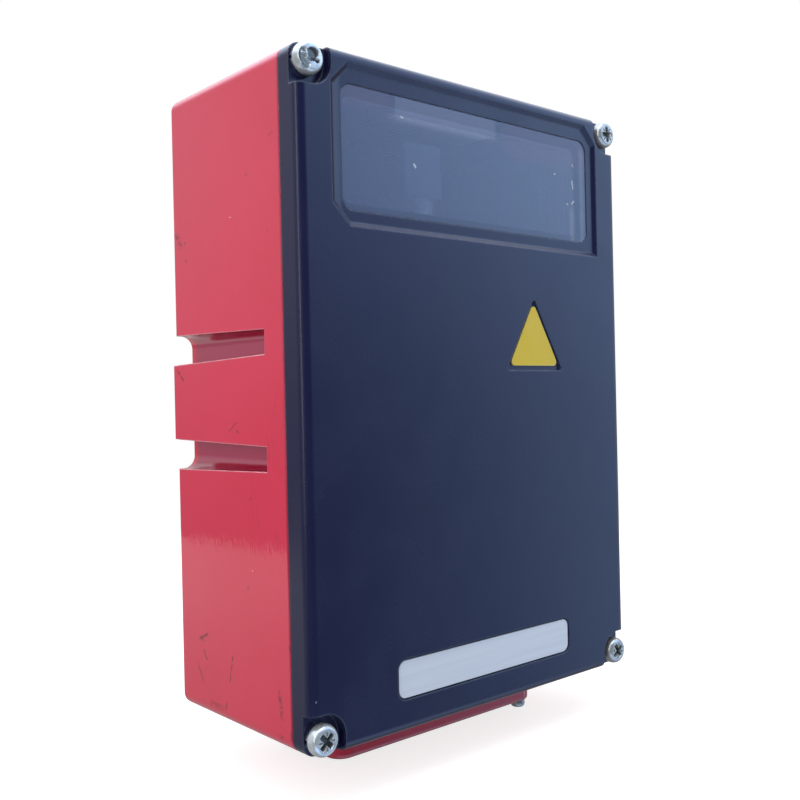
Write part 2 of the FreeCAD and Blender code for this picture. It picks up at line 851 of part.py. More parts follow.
def turned_screw(label, diameter, head_diameter, head_height, length, cross):
    """A pan-head screw, head up, seat at the origin, with a cross recess."""
    body = new_body(label)
    profile = new_sketch(body, "XZ_Plane", zero)
    crown = head_height * d.head_crown_share
    draw(profile, [
        (zero, -length), (diameter / 2, -length), (diameter / 2, zero), (head_diameter / 2, zero),
        (head_diameter / 2, head_height - crown),
        (head_diameter / 2 - crown, head_height, crown), (zero, head_height),
    ])
    revolve(body, profile, "V_Axis")
    recess = new_sketch(body, "XY_Plane", head_height)
    wide, span = cross[0] / 2, cross[1] / 2
    draw(recess, [
        (span, -wide), (span, wide), (wide, wide), (wide, span), (-wide, span), (-wide, wide),
        (-span, wide), (-span, -wide), (-wide, -wide), (-wide, -span), (wide, -span), (wide, -wide),
    ])
    pocket(body, recess, cross[2])
    return body


def turned_links(original, direction, places):
    made = copies(original, places)
    for link in made:
        link.Placement.Rotation = TURNS[direction]
    return made


def make_cover_screws():
    screw = turned_screw(
        "cover_screw", d.screw_diameter, d.screw_head_diameter, d.screw_head_height, d.screw_length,
        (d.recess_cross_width, d.recess_cross_span, d.recess_cross_depth))
    seat = joint + d.flange_thickness + d.washer_thickness
    places = [(sx * screw_x, seat, sz * screw_z) for sx, sz in corners]
    keep("cover_screws", group(turned_links(screw, "front", places)))

    washer = split_washer("cover_washer", d.screw_diameter, d.washer_diameter, d.washer_thickness)
    places = [(x, joint + d.flange_thickness, z) for x, _, z in places]
    keep("cover_screw_washers", group(turned_links(washer, "front", places)))


def split_washer(label, hole, diameter, thickness):
    body = new_body(label)
    ring = new_sketch(body, "XY_Plane", zero)
    draw_circle(ring, zero, zero, diameter)
    draw_circle(ring, zero, zero, hole + d.fit_gap)
    pad(body, ring, thickness)
    split = new_sketch(body, "XY_Plane", thickness)
    draw(split, rectangle(-diameter, zero, -d.washer_split / 2, d.washer_split / 2))
    pocket(body, split, thickness)
    return body


# Connector collar below the housing

def collar_outline(grow):
    return rounded_rectangle(zero, -collar_front, d.collar_width + 2 * grow,
                             d.collar_depth + 2 * grow, d.collar_radius + grow)


def collar_mouth(grow):
    return rounded_rectangle(zero, -collar_front, d.collar_mouth_width + 2 * grow,
                             d.collar_mouth_depth + 2 * grow, d.collar_mouth_radius + grow)


def make_collar():
    body = new_body("connector_collar")
    ring = new_sketch(body, "XY_Plane", collar_low)
    draw(ring, collar_outline(zero))
    pad(body, ring, d.collar_height)
    fillet(body, d.collar_edge_radius, lies_at_height(collar_low))
    mouth = new_sketch(body, "XY_Plane", collar_low)
    draw(mouth, collar_mouth(zero))
    for x, front in collar_screw_places:
        draw_circle(mouth, x, -front, d.collar_screw_diameter + d.fit_gap)
    pocket(body, mouth, d.collar_height, forward=True)
    keep("connector_collar", body)

    seal = new_body("collar_gasket")
    ring = new_sketch(seal, "XY_Plane", collar_top)
    draw(ring, collar_outline(-d.fit_gap))
    draw(ring, collar_mouth(d.fit_gap))
    for x, front in collar_screw_places:
        draw_circle(ring, x, -front, d.collar_screw_diameter + d.fit_gap)
    pad(seal, ring, d.collar_gasket_thickness)
    keep("collar_gasket", seal)

    shank = (d.collar_washer_thickness + d.collar_height + d.collar_gasket_thickness
             + d.collar_screw_grip - d.fit_gap)
    screw = turned_screw(
        "collar_screw", d.collar_screw_diameter, d.collar_head_diameter, d.collar_head_height, shank,
        (d.small_cross_width, d.collar_cross_span, d.small_cross_depth))
    over = FreeCAD.Rotation(FreeCAD.Vector(1, 0, 0), 180)
    links = copies(screw, [(x, front, collar_low - d.collar_washer_thickness)
                           for x, front in collar_screw_places])
    for link in links:
        link.Placement.Rotation = over
    keep("collar_screws", group(links))
    washer = split_washer("collar_washer", d.collar_screw_diameter, d.collar_head_diameter,
                          d.collar_washer_thickness)
    places = [(x, front, collar_low - d.collar_washer_thickness) for x, front in collar_screw_places]
    keep("collar_screw_washers", group(copies(washer, places)))


# Connectors inside the collar

def shell_outline(x, width, spare):
    """The keyed outline of a connector shell: two long sides of different length."""
    half, high = width / 2 - spare, d.shell_height / 2 - spare
    near, far = -collar_front - high, -collar_front + high
    return [(x - half + d.shell_slant, near), (x + half - d.shell_slant, near), (x + half, far),
            (x - half, far)]


def upright(edge):
    box_size = edge.BoundBox
    return box_size.ZLength > 0.01 and box_size.XLength < 0.001 and box_size.YLength < 0.001


def make_connector_shell(label, x, width, shell_width, post_spacing):
    """A pressed steel flange against the housing with a keyed skirt that points down."""
    skirt_low = -half_height - d.flange_sheet - d.shell_reach
    body = new_body(label)
    skirt = new_sketch(body, "XY_Plane", skirt_low)
    draw(skirt, shell_outline(x, shell_width, zero))
    pad(body, skirt, d.shell_reach)
    fillet(body, d.shell_corner, upright)
    plate = new_sketch(body, "XY_Plane", -half_height - d.flange_sheet)
    draw(plate, rounded_rectangle(x, -collar_front, width, d.flange_depth, d.shell_corner))
    pad(body, plate, d.flange_sheet)
    bore = new_sketch(body, "XY_Plane", -half_height)
    draw(bore, rounded_rectangle(
        x, -collar_front, shell_width - 2 * (d.shell_sheet + d.shell_slant),
        d.shell_height - 2 * d.shell_sheet, d.shell_corner - d.shell_sheet))
    for side in (-1, 1):
        draw_circle(bore, x + side * post_spacing / 2, -collar_front, d.post_stud + d.fit_gap)
    pocket(body, bore, d.flange_sheet + d.shell_reach)
    return keep(label, body)


def make_insert(label, x, shell_width, low, holes):
    """The moulded block inside a shell; it reaches through the housing's port."""
    spare = d.fit_gap / 2
    body = new_body(label)
    block = new_sketch(body, "XY_Plane", low)
    draw(block, rounded_rectangle(
        x, -collar_front, shell_width - 2 * (d.shell_sheet + d.shell_slant + spare),
        d.shell_height - 2 * (d.shell_sheet + spare), d.shell_corner - d.shell_sheet - spare))
    pad(body, block, -half_height + d.insert_rise - low)
    sockets = new_sketch(body, "XY_Plane", low)
    for px, py, diameter in holes:
        draw_circle(sockets, px, py, diameter)
    pocket(body, sockets, d.shell_reach, forward=True)
    return keep(label, body)


def pin_places(x, upper, lower):
    """Two rows of contacts, the lower row half a pitch to the side."""
    places = []
    for count, side in ((upper, 1), (lower, -1)):
        for index in range(count):
            across = x + d.pin_pitch * (index - (count - 1) / 2)
            places.append((across, -collar_front + side * d.pin_row_spacing / 2))
    return places


def make_connectors():
    make_connector_shell("data_plug_shell", data_x, d.data_width, d.data_shell_width,
                         d.data_post_spacing)
    make_connector_shell("service_socket_shell", service_x, d.service_width, d.service_shell_width,
                         d.service_post_spacing)

    pins = pin_places(data_x, 8, 7)
    plug_floor = -half_height - d.flange_sheet
    make_insert("data_plug_insert", data_x, d.data_shell_width, plug_floor,
                [(x, y, d.pin_diameter + d.thread_gap) for x, y in pins])
    body = new_body("data_plug_pins")
    sketch = new_sketch(body, "XY_Plane", plug_floor - d.pin_reach)
    for x, y in pins:
        draw_circle(sketch, x, y, d.pin_diameter)
    pad(body, sketch, d.pin_reach + d.shell_reach)
    keep("data_plug_pins", body)

    sockets = pin_places(service_x, 5, 4)
    make_insert("service_socket_insert", service_x, d.service_shell_width,
                plug_floor - d.shell_reach + d.fit_gap, [(x, y, d.pin_diameter) for x, y in sockets])

    posts = new_body("jack_screws")
    heads = new_sketch(posts, "XY_Plane", plug_floor - d.post_length)
    for x in post_places:
        draw(heads, hexagon(x, -collar_front, d.post_across_flats))
    pad(posts, heads, d.post_length)
    studs = new_sketch(posts, "XY_Plane", plug_floor)
    for x in post_places:
        draw_circle(studs, x, -collar_front, d.post_stud)
    pad(posts, studs, d.flange_sheet + d.wall_thickness)
    holes = new_sketch(posts, "XY_Plane", plug_floor - d.post_length)
    for x in post_places:
        draw_circle(holes, x, -collar_front, d.post_stud)
    pocket(posts, holes, d.post_thread_depth, forward=True)
    keep("jack_screws", posts)


def hexagon(x, y, across_flats):
    radius = across_flats / math.sqrt(3)
    return [(x + radius * math.cos(math.radians(60 * n)), y + radius * math.sin(math.radians(60 * n)))
            for n in range(6)]


# Optics carrier: a cast angle bracket on the back wall

def make_carrier():
    body = new_body("optics_carrier")
    shelf_low = d.carrier_shelf_height
    back_front = carrier_back + d.carrier_thickness
    shelf_front = carrier_back + d.carrier_shelf_reach
    profile = new_sketch(body, "YZ_Plane", -d.carrier_width / 2)
    draw(profile, [
        (-carrier_back, shelf_low), (-carrier_back, shelf_low + d.carrier_back_height),
        (-back_front, shelf_low + d.carrier_back_height), (-back_front, carrier_top),
        (-shelf_front, carrier_top), (-shelf_front, shelf_low),
    ])
    pad(body, profile, d.carrier_width)
    holes = new_sketch(body, "XZ_Plane", back_front)
    for x, z in carrier_screw_places:
        draw_circle(holes, x, z, d.inner_screw_diameter + d.fit_gap)
    pocket(body, holes, d.carrier_thickness)
    seats = new_sketch(body, "XY_Plane", carrier_top)
    draw_circle(seats, d.motor_across, -d.motor_front, d.sleeve_diameter + d.thread_gap)
    for x, front in motor_screw_places():
        draw_circle(seats, x, -front, d.inner_screw_diameter + d.thread_gap)
    pocket(body, seats, d.carrier_thickness)
    keep("optics_carrier", body)

    screw = turned_screw(
        "inner_screw", d.inner_screw_diameter, d.inner_head_diameter, d.inner_head_height,
        d.inner_screw_length, (d.small_cross_width, d.inner_cross_span, d.small_cross_depth))
    places = [(x, back_front, z) for x, z in carrier_screw_places]
    keep("carrier_screws", group(turned_links(screw, "front", places)))
    places = [(x, board_face, z) for x, z in board_screw_places]
    keep("board_screws", group(turned_links(screw, "front", places)))
    places = [(x, front, carrier_top + d.motor_plate_thickness) for x, front in motor_screw_places()]
    short = turned_screw(
        "motor_screw", d.inner_screw_diameter, d.inner_head_diameter, d.inner_head_height,
        d.motor_plate_thickness + d.carrier_thickness,
        (d.small_cross_width, d.inner_cross_span, d.small_cross_depth))
    keep("motor_screws", group(copies(short, places)))


def motor_screw_places():
    reach = d.motor_plate_size / 2 - d.inner_head_diameter / 2 - d.motor_screw_margin
    return [(d.motor_across + sx * reach, d.motor_front + sy * reach) for sx, sy in corners]


# Mirror motor

def ring(label, low, height, outer, inner):
    body = new_body(label)
    sketch = new_sketch(body, "XY_Plane", low)
    draw_circle(sketch, d.motor_across, -d.motor_front, outer)
    draw_circle(sketch, d.motor_across, -d.motor_front, inner)
    pad(body, sketch, height)
    return body


plate_top = carrier_top + d.motor_plate_thickness
sleeve_low = carrier_top - d.carrier_thickness
sleeve_top = sleeve_low + d.carrier_thickness + d.motor_plate_thickness + d.sleeve_height
spindle_low = sleeve_low + d.sleeve_floor + d.spindle_gap
rotor_low = plate_top + d.rotor_gap
rotor_top = sleeve_top + d.rotor_gap + d.rotor_sheet
wheel_top = rotor_top + d.wheel_height
clip_top = wheel_top + d.clip_thickness


def make_motor():
    half = d.motor_plate_size / 2
    body = new_body("motor_plate")
    sketch = new_sketch(body, "XY_Plane", carrier_top)
    draw(sketch, rounded_rectangle(d.motor_across, -d.motor_front, d.motor_plate_size,
                                   d.motor_plate_size, half / 4))
    draw_circle(sketch, d.motor_across, -d.motor_front, d.sleeve_diameter + d.thread_gap)
    for x, front in motor_screw_places():
        draw_circle(sketch, x, -front, d.inner_screw_diameter + d.fit_gap)
    pad(body, sketch, d.motor_plate_thickness)
    keep("motor_plate", body)

    sleeve = ring("bearing_sleeve", sleeve_low, sleeve_top - sleeve_low, d.sleeve_diameter,
                  d.spindle_diameter + 2 * d.spindle_gap)
    floor = new_sketch(sleeve, "XY_Plane", sleeve_low)
    draw_circle(floor, d.motor_across, -d.motor_front, d.sleeve_diameter)
    pad(sleeve, floor, d.sleeve_floor)
    keep("bearing_sleeve", sleeve)

    coils = ring("motor_coils", plate_top, d.coil_height, d.coil_diameter,
                 d.sleeve_diameter + d.thread_gap)
    slots = new_sketch(coils, "XY_Plane", plate_top + d.coil_height)
    slot_circle = d.coil_diameter / 2 - d.coil_slot_inset
    for n in range(6):
        turn = math.radians(60 * n)
        draw_circle(slots, d.motor_across + slot_circle * math.cos(turn),
                    -d.motor_front + slot_circle * math.sin(turn), d.coil_slot_diameter)
    pocket(coils, slots, d.coil_slot_depth)
    keep("motor_coils", coils)

    spindle = rod("up", d.motor_across, d.motor_front, spindle_low, d.spindle_diameter,
                  clip_top + d.clip_thickness - spindle_low)
    keep("spindle", spindle)

    bore = d.spindle_diameter + 2 * d.spindle_gap
    cup = ring("rotor_cup", rotor_low, rotor_top - rotor_low, d.rotor_diameter, bore)
    hollow = new_sketch(cup, "XY_Plane", rotor_low)
    draw_circle(hollow, d.motor_across, -d.motor_front, d.rotor_diameter - 2 * d.rotor_sheet)
    pocket(cup, hollow, rotor_top - rotor_low - d.rotor_sheet, forward=True)
    keep("rotor_cup", cup)

    wheel = new_body("mirror_wheel")
    sketch = new_sketch(wheel, "XY_Plane", rotor_top)
    faces = int(SIZES["wheel_faces"])
    step = 2 * math.pi / faces
    draw(sketch, [(d.motor_across + d.wheel_radius * math.cos(step * (n + 0.5)),
                   -d.motor_front + d.wheel_radius * math.sin(step * (n + 0.5))) for n in range(faces)])
    draw_circle(sketch, d.motor_across, -d.motor_front, bore)
    pad(wheel, sketch, d.wheel_height)
    dish = new_sketch(wheel, "XY_Plane", wheel_top)
    draw_circle(dish, d.motor_across, -d.motor_front, d.wheel_radius * 1.5)
    draw_circle(dish, d.motor_across, -d.motor_front, d.clip_diameter + d.clip_thickness * 2)
    pocket(wheel, dish, d.clip_thickness)
    keep("mirror_wheel", wheel)

    keep("mirror_clip", ring("mirror_clip", wheel_top, d.clip_thickness, d.clip_diameter, bore))


# Light source and receiver on the carrier's shelf

def make_laser():
    half = d.laser_block_width / 2
    block_back = d.laser_block_front
    block_front = block_back + d.laser_block_depth
    bore = d.barrel_diameter + d.thread_gap
    block = box((laser_x - half, laser_x + half), (block_back, block_front),
                (carrier_top, beam_z + half))
    barrel_back = block_back + (d.laser_block_depth - d.barrel_length) / 2
    tunnel = rod("front", laser_x, block_back - half, beam_z, bore, d.laser_block_depth + half * 2)
    split = box((laser_x - d.thread_gap * 5, laser_x + d.thread_gap * 5),
                (block_back - half, block_front + half), (beam_z, beam_z + half * 2))
    keep("laser_block", cut(block, tunnel, split))

    inner = d.barrel_diameter - 2 * d.barrel_wall
    tube = rod("front", laser_x, barrel_back, beam_z, d.barrel_diameter, d.barrel_length)
    hole = rod("front", laser_x, barrel_back - half, beam_z, inner, d.barrel_length + half * 2)
    keep("laser_barrel", cut(tube, hole))
    seat = inner - d.thread_gap
    keep("laser_diode", rod("front", laser_x, barrel_back, beam_z, seat, d.diode_length))
    keep("laser_lens", rod("front", laser_x, barrel_back + d.barrel_length - d.lens_thickness,
                           beam_z, seat, d.lens_thickness))

    mirror = box((-d.fold_mirror_size / 2, d.fold_mirror_size / 2),
                 (zero, d.fold_mirror_thickness), (zero, d.beam_height + d.fold_mirror_size / 2))
    mirror.Placement.Rotation = FreeCAD.Rotation(FreeCAD.Vector(0, 0, 1), 45)
    slant = d.fold_mirror_size / 2 / math.sqrt(2)
    move_to(mirror, laser_x - slant, d.fold_mirror_front + slant, carrier_top)
    keep("fold_mirror", mirror)


def make_receiver():
    half_holder = d.collector_diameter / 2 + d.holder_wall
    holder_left = collector_x
    holder_right = holder_left + d.holder_thickness
    block = box((holder_left, holder_right),
                (d.motor_front - half_holder, d.motor_front + half_holder),
                (carrier_top, beam_z + d.collector_diameter / 2 - d.holder_wall))
    bore = d.collector_diameter + d.thread_gap
    tunnel = rod("right", holder_left - d.holder_wall, d.motor_front, beam_z, bore,
                 d.holder_thickness + d.holder_wall * 2)
    keep("lens_holder", cut(block, tunnel))
    keep("collector_lens", rod("right", holder_left + (d.holder_thickness - d.collector_thickness) / 2,
                               d.motor_front, beam_z, d.collector_diameter, d.collector_thickness))

    right = receiver_x + d.board_thickness
    keep("receiver_board", box(
        (receiver_x, right),
        (d.motor_front - d.receiver_width / 2, d.motor_front + d.receiver_width / 2),
        (carrier_top, carrier_top + d.receiver_height)))
    half = d.photodiode_size / 2
    keep("photodiode", box((receiver_x - d.photodiode_thickness, receiver_x),
                           (d.motor_front - half, d.motor_front + half), (beam_z - half, beam_z + half)))


# Main board on the back wall

def make_main_board():
    centre = -d.board_centre_below
    board = box((-d.board_width / 2, d.board_width / 2), (board_back, board_face),
                (centre - d.board_height / 2, centre + d.board_height / 2))
    drills = [rod("front", x, board_back - d.board_thickness, z, d.inner_screw_diameter + d.fit_gap,
                  d.board_thickness * 3) for x, z in board_screw_places]
    keep("main_board", cut(board, *drills))

    half = d.processor_size / 2
    chips = [box((-half, half), (board_face, board_face + d.processor_thickness),
                 (centre - half, centre + half))]
    for n in range(3):
        left = half + d.memory_width
        low = centre - half + (d.memory_width + d.fit_gap * 4) * n
        chips.append(box((left, left + d.memory_length), (board_face, board_face + d.processor_thickness),
                         (low, low + d.memory_width)))
    keep("board_chips", group(chips))

    cans = []
    for n in range(3):
        x = -half - d.capacitor_diameter * (1 + 1.2 * n)
        cans.append(rod("front", x, board_face, centre, d.capacitor_diameter, d.capacitor_height))
    keep("board_capacitors", group(cans))

    low = centre - d.board_height / 2 + d.board_screw_inset * 2
    length = d.header_length / 2
    shell = box((-length, length), (board_face, board_face + d.header_height), (low, low + d.header_depth))
    wall = d.board_thickness / 2
    trough = box((-length + wall, length - wall), (board_face + wall, board_face + d.header_height * 2),
                 (low + wall, low + d.header_depth - wall))
    keep("board_header", cut(shell, trough))


make_housing()
make_front_cover()
make_window()
make_plates()
make_light_shield()
make_cover_gasket()
make_cover_screws()
make_collar()
make_connectors()
make_carrier()
make_motor()
make_laser()
make_receiver()
make_main_board()
doc.recompute()

for thing in doc.Objects:
    if any(word in thing.State for word in ("Invalid", "Error")):
        raise RuntimeError(f"{thing.Name} failed to build")
for label, thing in parts.items():
    if thing.Shape.isNull() or not thing.Shape.isValid():
        raise RuntimeError(f"{label} has no valid shape")

os.makedirs("parts", exist_ok=True)
for label, thing in parts.items():
    thing.Shape.exportStep(f"parts/{label}.step")
    print(label, len(thing.Shape.Solids), "solids", round(thing.Shape.Volume, 1))
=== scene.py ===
# %% [markdown]
# # An industrial barcode reader
# The reader is a red die-cast box with a dark blue cover screwed to its front. This lesson dresses
# the packed solids: it keeps every solid whose shape is right, gives each one a finish made of
# shader nodes, and adds the few pieces that need finer geometry than the solids have.
# The frame comes first, because every piece rides on one of its bodies.

# %% Load the frame
import math

import bpy
import numpy as np
from mathutils import Matrix, Vector


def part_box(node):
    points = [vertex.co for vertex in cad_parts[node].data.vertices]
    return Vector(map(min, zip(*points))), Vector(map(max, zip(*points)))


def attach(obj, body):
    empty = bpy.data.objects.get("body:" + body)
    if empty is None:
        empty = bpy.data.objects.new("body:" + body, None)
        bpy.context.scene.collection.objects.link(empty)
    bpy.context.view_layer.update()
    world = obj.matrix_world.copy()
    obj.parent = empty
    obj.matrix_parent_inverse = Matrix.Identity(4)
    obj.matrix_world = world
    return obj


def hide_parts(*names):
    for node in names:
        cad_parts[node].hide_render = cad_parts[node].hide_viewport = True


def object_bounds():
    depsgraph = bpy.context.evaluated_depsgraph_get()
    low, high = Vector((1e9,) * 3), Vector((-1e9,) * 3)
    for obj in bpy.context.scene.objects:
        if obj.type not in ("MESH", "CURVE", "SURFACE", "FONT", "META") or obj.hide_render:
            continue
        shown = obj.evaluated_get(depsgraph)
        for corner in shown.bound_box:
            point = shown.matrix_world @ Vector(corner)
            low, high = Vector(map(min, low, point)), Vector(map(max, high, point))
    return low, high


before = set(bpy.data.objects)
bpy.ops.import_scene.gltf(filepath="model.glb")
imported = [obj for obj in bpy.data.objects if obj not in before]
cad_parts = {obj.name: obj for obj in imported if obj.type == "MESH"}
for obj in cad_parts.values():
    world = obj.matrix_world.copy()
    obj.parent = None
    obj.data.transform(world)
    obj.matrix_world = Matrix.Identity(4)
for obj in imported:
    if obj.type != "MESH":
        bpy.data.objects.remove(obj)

MM = 0.001
cad_box = [list(corner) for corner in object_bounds()]
print("solids:", len(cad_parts), "box from", cad_box[0], "to", cad_box[1])

# %% [markdown]
# ## The camera
# The photograph was taken from about a foot away, level with the middle of the reader and forty
# degrees to its left, so the level edges converge strongly. A camera is a place, a direction and a
# lens. The place and the direction were fitted to the corners of the box, and the lens to how
# strongly the edges converge. The matrix columns are the camera's right, up and backward directions.

# %% Camera
EYE = Vector((-192.48, -249.86, 0.07)) * MM
HEADING, RISE, LEAN = (math.radians(angle) for angle in (40.966, -0.159, -1.277))
FOCAL_PIXELS, IMAGE_PIXELS, SENSOR_MM = 957.67, 800, 36.0
NEAR_CLIP = 10 * MM

ahead = Vector((math.sin(HEADING) * math.cos(RISE), math.cos(HEADING) * math.cos(RISE), math.sin(RISE)))
level_right = ahead.cross(Vector((0, 0, 1))).normalized()
level_up = level_right.cross(ahead)
right = level_right * math.cos(LEAN) + level_up * math.sin(LEAN)
up = level_up * math.cos(LEAN) - level_right * math.sin(LEAN)

lens = bpy.data.cameras.new("photo_camera")
lens.sensor_width = SENSOR_MM
lens.lens = FOCAL_PIXELS / IMAGE_PIXELS * SENSOR_MM
lens.clip_start = NEAR_CLIP
camera = bpy.data.objects.new("photo_camera", lens)
camera.matrix_world = Matrix((right, up, -ahead)).transposed().to_4x4()
camera.matrix_world.translation = EYE
bpy.context.scene.collection.objects.link(camera)
bpy.context.scene.camera = camera
print("lens", round(lens.lens, 2), "mm at", [round(x, 4) for x in EYE])

# %% [markdown]
# ## Surfaces from arrays
# A new piece is a grid of points worked out in numpy. Each row is a ring round the piece, and a fan
# of triangles closes the first and the last ring, so the skin has no holes. A turned curve would do
# for a plain rod, but on a grid a formula can move every point by itself.

# %% Closed skins
def ring_faces(rings, columns):
    """Quads between neighbouring rings of a grid that closes round its columns."""
    row, column = np.meshgrid(np.arange(rings - 1), np.arange(columns), indexing="ij")
    here = row * columns + column
    beside = row * columns + (column + 1) % columns
    return np.stack([here, beside, beside + columns, here + columns], axis=-1).reshape(-1, 4)


def closed_skin(rings):
    """Vertices and faces of stacked rings, with the first and last closed onto their middle points."""
    count, columns = rings.shape[:2]
    points = np.vstack([rings.reshape(-1, rings.shape[-1]), rings[0].mean(0), rings[-1].mean(0)])
    first, last = count * columns, count * columns + 1
    turn = np.arange(columns)
    after = (turn + 1) % columns
    start_fan = np.stack([after, turn, np.full(columns, first)], axis=-1)
    end_fan = np.stack([turn, after, np.full(columns, last)], axis=-1)
    end_fan[:, :2] += (count - 1) * columns
    faces = [*ring_faces(count, columns).tolist(), *start_fan.tolist(), *end_fan.tolist()]
    return points, faces


print("a tube of 3 rings with 8 columns has", len(ring_faces(3, 8)), "quads")

# %% [markdown]
# ## From skins to a piece
# The order of its corners tells Blender which way a face points, and all of a skin has to point outwards.
# The sign of the enclosed volume tells whether it does, and a skin with a negative one is turned round.
# Each point carries a fourth number, for dirt and painted shade, which becomes an attribute that a finish
# can read.

# %% Pieces from skins
SHARP_ANGLE = math.radians(40)


def volume(points, faces):
    """A sixth of the sum, over a fan of triangles in each face, of the corners' triple products."""
    corners = np.array([face if len(face) == 4 else [*face, face[-1]] for face in faces])
    a, b, c, d = (points[corners[:, n], :3] for n in range(4))
    first_halves = np.einsum("ij,ij->i", a, np.cross(b, c))
    second_halves = np.einsum("ij,ij->i", a, np.cross(c, d))
    return (first_halves + second_halves).sum() / 6


def make_piece(name, skins, body):
    """Join closed skins into one smooth mesh object that rides on a body."""
    points, faces = [], []
    for skin_points, skin_faces in skins:
        if volume(skin_points, skin_faces) < 0:
            skin_faces = [face[::-1] for face in skin_faces]
        offset = sum(len(block) for block in points)
        points.append(skin_points)
        faces += [[corner + offset for corner in face] for face in skin_faces]
    points = np.vstack(points)
    mesh = bpy.data.meshes.new(name)
    mesh.from_pydata(points[:, :3].tolist(), [], faces)
    mesh.attributes.new("grime", "FLOAT", "POINT").data.foreach_set("value", points[:, 3])
    mesh.shade_smooth()
    mesh.set_sharp_from_angle(angle=SHARP_ANGLE)
    piece = bpy.data.objects.new(name, mesh)
    bpy.context.scene.collection.objects.link(piece)
    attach(piece, body)
    print(name, len(mesh.vertices), "vertices,", len(skins), "skins")
    return piece


print("edges above", round(math.degrees(SHARP_ANGLE)), "degrees stay sharp")

# %% [markdown]
# ## Screw recesses
# Four zinc-plated pan-head screws hold the cover. Their heads carry a cross recess with four fine ticks
# between the arms. A boolean cut would leave long thin triangles, so the recess is a depth that
# depends on the place on the head, and the points of the head are pushed in by it.

# %% Cross and ticks
WALL_SOFTNESS, END_SLOPE = 0.16, 0.38
TICK_START, TICK_SOFTNESS, TICK_DEPTH = 0.45, 0.1, 2.4


def soft_step(value):
    """Rises from 0 to 1 with level ends: three squares minus two cubes."""
    value = np.clip(value, 0, 1)
    return value * value * (3 - 2 * value)


def cross_depth(across, along, reach, width, depth):
    """Depth of a cross: the deeper of two slots, each a soft box that gets shallower to its ends."""
    def slot_depth(p, q):
        walls = soft_step((width / 2 - np.abs(q)) / (WALL_SOFTNESS * width) + 0.5)
        ends = soft_step((reach - np.abs(p)) / (END_SLOPE * reach))
        return walls * ends
    return depth * np.maximum(slot_depth(across, along), slot_depth(along, across))


def tick_depth(across, along, reach, width):
    """Depth of four short ticks on the diagonals: soft lines from a share of the reach to the reach."""
    p, q = (across + along) / math.sqrt(2), (across - along) / math.sqrt(2)

    def line(u, v):
        before_end = soft_step((reach - np.abs(u)) / (TICK_SOFTNESS * reach))
        after_start = soft_step((np.abs(u) - TICK_START * reach) / (TICK_SOFTNESS * reach))
        return before_end * after_start * soft_step(1.5 - np.abs(v) / width)
    return TICK_DEPTH * width * np.maximum(line(p, q), line(q, p))


print("a cross of depth 1 is", cross_depth(0.0, 0.0, 2.0, 1.0, 1.0), "deep in its middle")

# %% [markdown]
# ## A torn recess
# A slipping driver has torn the recess of one screw and pushed thin burrs up beside it. Sculpting could
# make that too, but numbers are easy to change. A few soft ellipses are the hollows, each one given by
# its middle, its half sizes and its depth. A burr is a ridge along a line: start, end and width.
# All are shares of the head's radius.

# %% Torn recess
TORN = ((0.10, 0.26, 0.44, 0.32, 0.24), (0.30, -0.20, 0.30, 0.16, 0.22), (-0.55, -0.02, 0.34, 0.52, 0.16),
        (-0.14, -0.10, 0.30, 0.26, 0.20), (-0.40, -0.45, 0.32, 0.36, 0.15))
BURRS = (((-0.42, 0.48), (-0.32, 0.16), 0.050), ((-0.32, 0.16), (-0.28, -0.10), 0.060),
         ((-0.66, 0.15), (-0.40, 0.11), 0.055), ((-0.40, -0.18), (-0.16, -0.38), 0.050),
         ((-0.16, -0.38), (0.20, -0.31), 0.050), ((0.20, -0.31), (0.44, -0.46), 0.055),
         ((0.38, -0.08), (0.44, -0.10), 0.070))
HOLLOW_SLOPE, BURR_SHARE = 0.35, 0.95


def chewed_depth(x, y, radius):
    """Depth of a torn recess: the deepest soft ellipse, taken back by a bell curve round each burr."""
    u, v = x / radius, y / radius
    depth = np.zeros_like(u)
    for middle_u, middle_v, half_u, half_v, deep in TORN:
        inside = 1 - ((u - middle_u) / half_u) ** 2 - ((v - middle_v) / half_v) ** 2
        depth = np.maximum(depth, deep * soft_step(inside / HOLLOW_SLOPE))
    for (start_u, start_v), (end_u, end_v), width in BURRS:
        run_u, run_v = end_u - start_u, end_v - start_v
        share = ((u - start_u) * run_u + (v - start_v) * run_v) / (run_u ** 2 + run_v ** 2)
        share = np.clip(share, 0, 1)
        off_line = np.hypot(u - start_u - share * run_u, v - start_v - share * run_v)
        depth = depth * (1 - BURR_SHARE * np.exp(-(off_line / width) ** 2))
    return depth * radius


print("torn recess:", len(TORN), "hollows and", len(BURRS), "burrs")

# %% [markdown]
# ## A screw as rings
# A screw is round about its axis, so its grid is polar: the rings follow the profile from the middle of
# the head over its domed top, round the rim, under the head and down the shank. The recess only pushes
# in the rings of the top and the first few of the rim. Where it is deep, the points also get dirt and
# painted shade.
# All shares are of the head's radius or height, and those of the shank of its own radius and length.

# %% Screw rings
COLUMNS, TOP_RINGS, RIM_RINGS, CUT_RIM_RINGS = 128, 46, 12, 6
RIM, SHOULDER, CROWN, CROWN_EDGE = 0.30, 0.66, 0.05, 0.975
UNDER_RADII, UNDER_HEIGHTS = np.array([1.0, 0.99, 0.955]), np.array([0.20, 0.06, 0.0])
SHANK_RADII, SHANK_ENDS = np.array([1.02, 1.0, 1.0, 0.82, 0.02]), np.array([0.0, -0.05, -0.94, -1.0, -1.0])
CROSS_REACH, CROSS_WIDTH, CROSS_DEPTH = 0.64, 0.31, 0.55
TICK_REACH, TICK_WIDTH = 0.62, 0.05
# Depth at which a recess is fully darkened by dirt and painted shade.
GRIME_AND_SHADE_DEPTH = 0.30


